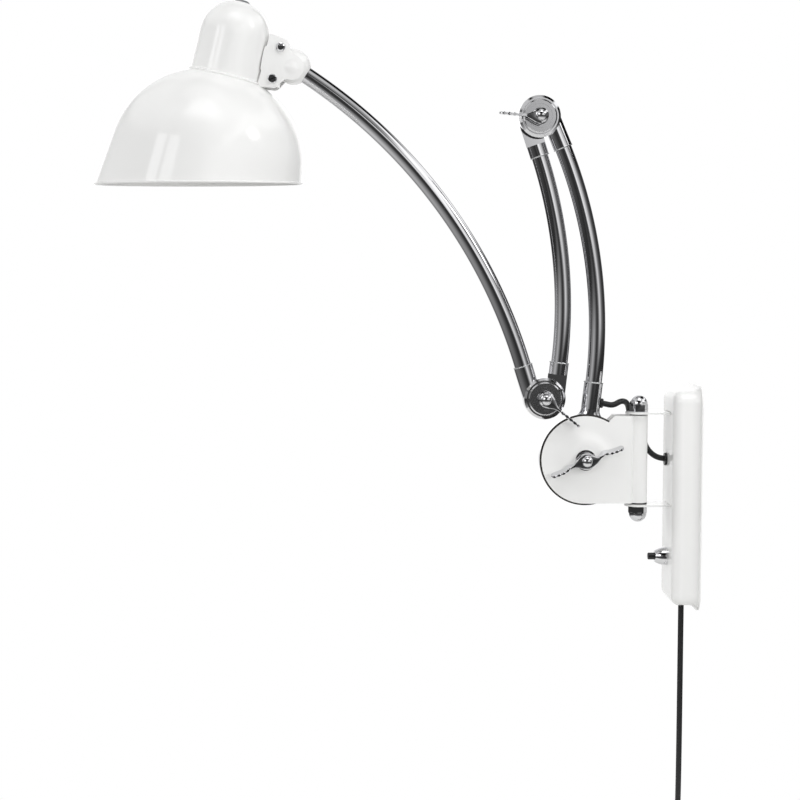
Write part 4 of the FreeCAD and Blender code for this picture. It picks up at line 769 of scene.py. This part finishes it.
# cast wing: half thickness and reach of its hub, tooth pitch, rounded tip, points of a ring
HUB_HALF, HUB_REACH, TOOTH_PITCH, TIP_LENGTH, RING = 8.2, 17.5, 5.2, 3.5, 20
WING_TOP = 11.4


def squared(value):
    """Sine or cosine flattened, so that a ring comes out nearly square."""
    return math.copysign(abs(value) ** 0.22, value)


def wing(course, tip_lean, edge=0.85, wave=0.6):
    """Skin of a wing along a course of (x, y): broad flat hub, thin toothed, leaning blade."""
    course = [Vector(p) for p in course]
    line = []
    for k in range(len(course) - 1):
        a, b = course[max(k - 1, 0)], course[k]
        c, d = course[k + 1], course[min(k + 2, len(course) - 1)]
        for t in (i / 12 for i in range(12)):
            line.append((b * 2 + (c - a) * t + (a * 2 - b * 5 + c * 4 - d) * t * t
                         + (b * 3 - a - c * 3 + d) * t ** 3) / 2)
    line.append(course[-1])
    lengths = [0.0]
    for a, b in zip(line, line[1:]):
        lengths.append(lengths[-1] + (b - a).length)
    rings = []
    for i, (spot, s) in enumerate(zip(line, lengths)):
        way = (line[min(i + 1, len(line) - 1)] - line[max(i - 1, 0)]).normalized()
        out = min(s / HUB_REACH, 1.0)
        half = edge + (HUB_HALF - edge) * (0.5 + 0.5 * math.cos(math.pi * out))
        tooth = wave * math.sin(s * 2 * math.pi / TOOTH_PITCH) if s > HUB_REACH else 0.0
        past = max(0.0, (s - lengths[-1] + TIP_LENGTH) / TIP_LENGTH)
        tip = math.sqrt(max(0.0, 1 - past ** 2))
        low = 1.2 + 1.3 * min(s / 16.0, 1.0)
        middle, rise = (low + WING_TOP) / 2, (WING_TOP - low) / 2 * max(tip, 0.15)
        ring = []
        for k in range(RING):
            angle = 2 * math.pi * (k + 0.5) / RING
            width = (half + (tooth if math.sin(angle) > 0.5 else 0.0)) * (0.4 + 0.6 * max(tip, 0.2))
            across = width * squared(math.cos(angle))
            up = middle + rise * squared(math.sin(angle))
            # the outer blade leans, so its upper side shows from the front
            across -= tip_lean * (up - WING_TOP) * min(max((s - 13) / 6, 0), 1)
            ring.append((spot.x - across * way.y, spot.y + across * way.x, up))
        rings.append(ring)
    points = [p for ring in rings for p in ring]
    return points, tube_faces(len(rings), RING)


def clamp_nut(name, frame_at, wings, body, node):
    """Wing nut with a domed hub and one or two wings, each given as the values of wing()."""
    points, faces = [], []
    for values in wings:
        more, sides = wing(*values)
        faces += [tuple(i + len(points) for i in face) for face in sides]
        points += more
    blades = piece(name + "_wings", points, faces, CHROME, frame_at, 18)
    hub = rounded([(0, 0.08), (8.2, 0.08), (8.4, 3.0), (7.6, 8.5), (5.9, 10.6), (5.4, 12.4)], 0.8)
    hub += [(5.2 * math.cos(math.radians(a)), 12.2 + 3.3 * math.sin(math.radians(a)))
            for a in range(5, 88, 8)] + [(0, 15.5)]
    core = lathe(name + "_hub", hub, CHROME, frame_at, 64)
    keep(core, body, "chrome", node)
    keep(blades, body, "chrome")


# where the nuts bear, from the middle of the joint towards the viewer
BASE_SEAT, ELBOW_SEAT = Vector((0, -15.2, 0)), Vector((0, -14.2, 0))
clamp_nut("base_nut", place(PIVOT + BASE_SEAT) @ TO_VIEWER,
          [([(0, -0.6), (8, 1.4), (13.9, 4.2), (17.7, 6.7), (20.8, 7.6), (24.4, 7.9), (31.6, 10.2),
             (35.8, 12.0), (38.4, 13.4)], 0.34),
           ([(0, -0.6), (-8, -2.9), (-13.2, -5.2), (-17.2, -7.3), (-19.5, -9.0), (-21.8, -11.2),
             (-25.2, -12.9), (-29.4, -14.5), (-36.2, -16.9)], -0.36)], "base_nut",
          "base_wing_nut")
clamp_nut("upper_nut", place(ELBOW_1 + ELBOW_SEAT) @ TO_VIEWER,
          [([(0, -1.0), (-10, -0.8), (-22, 0.3), (-32, 1.2), (-42.5, 2.2)], 0.0, 1.25)], "upper_nut",
          "elbow_1_wing_nut")
clamp_nut("lower_nut", place(ELBOW_2 + ELBOW_SEAT) @ TO_VIEWER,
          [([(0, 0), (8, -6.6), (16, -13.2), (25, -20.6), (34.6, -28.6)], 0.0, 1.3)], "lower_nut",
          "elbow_2_wing_nut")

# dark ring in the fibre finish between the drum and the near cheek, reaching past both: a painted
# shadow line round the drum's rim
band = [(40.0, 10.4), (46.9, 10.4), (47.3, 10.1), (47.3, 8.9), (40.0, 8.9)]
keep(lathe("painted_shadow_ring", band, FIBRE_AND_SHADOW, place(PIVOT) @ TO_VIEWER, 128), "swivel",
     "dark_fibre")


# ---------------------------------------------------------------- link flex

# control points from the lower arm's grommet, round the back of the hinge, to the wall box
flex_at = place(PIVOT, LEAN_1)
FLEX = [flex_at @ Vector((4.0, 0, 59.5)), flex_at @ Vector((14.0, 0, 59.5)),
        Vector((-85.5, 2.8, 94.0)), Vector((-76.0, 7.3, 99.2)), Vector((-67.7, 17.3, 95.9)),
        Vector((-64.5, 23.6, 82.9)), Vector((-62.3, 21.1, 71.9)), Vector((-51.1, 19.5, 63.7)),
        Vector((-50.0, 12.8, 51.0)), Vector((-42.0, 8.2, 41.0)), Vector((-30.8, 8.0, 37.5)),
        Vector((-18.0, 8.0, 37.5))]
whole = smooth_lead("flex_line", FLEX, LEAD_R)
_, flex_points = spline_length(whole)
bpy.data.objects.remove(whole)


def sweep(name, path, radius, finish, sides=20):
    """Round tube along close points in metres, its ends capped."""
    points = []
    side = Vector((0, 1, 0))
    for i, point in enumerate(path):
        way = (path[min(i + 1, len(path) - 1)] - path[max(i - 1, 0)]).normalized()
        side = (side - way * side.dot(way)).normalized()
        other = way.cross(side)
        points += [tuple((point / MM) + (side * math.cos(a) + other * math.sin(a)) * radius)
                   for a in (2 * math.pi * k / sides for k in range(sides))]
    return piece(name, points, tube_faces(len(path), sides), finish, None, 40)


# the flex is swept in two halves that meet at its middle, each listed with the body that holds its
# outer end
middle = len(flex_points) // 2
halves = (("flex_to_arm", flex_points[:middle + 1], "lower_arm", flex_points[0]),
          ("flex_to_wall", flex_points[middle:], "wall_mount", flex_points[-1]))
for name, path, body, exit_at in halves:
    half = sweep(name, path, LEAD_R, SHEATH)
    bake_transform(half)
    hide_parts("link_flex")
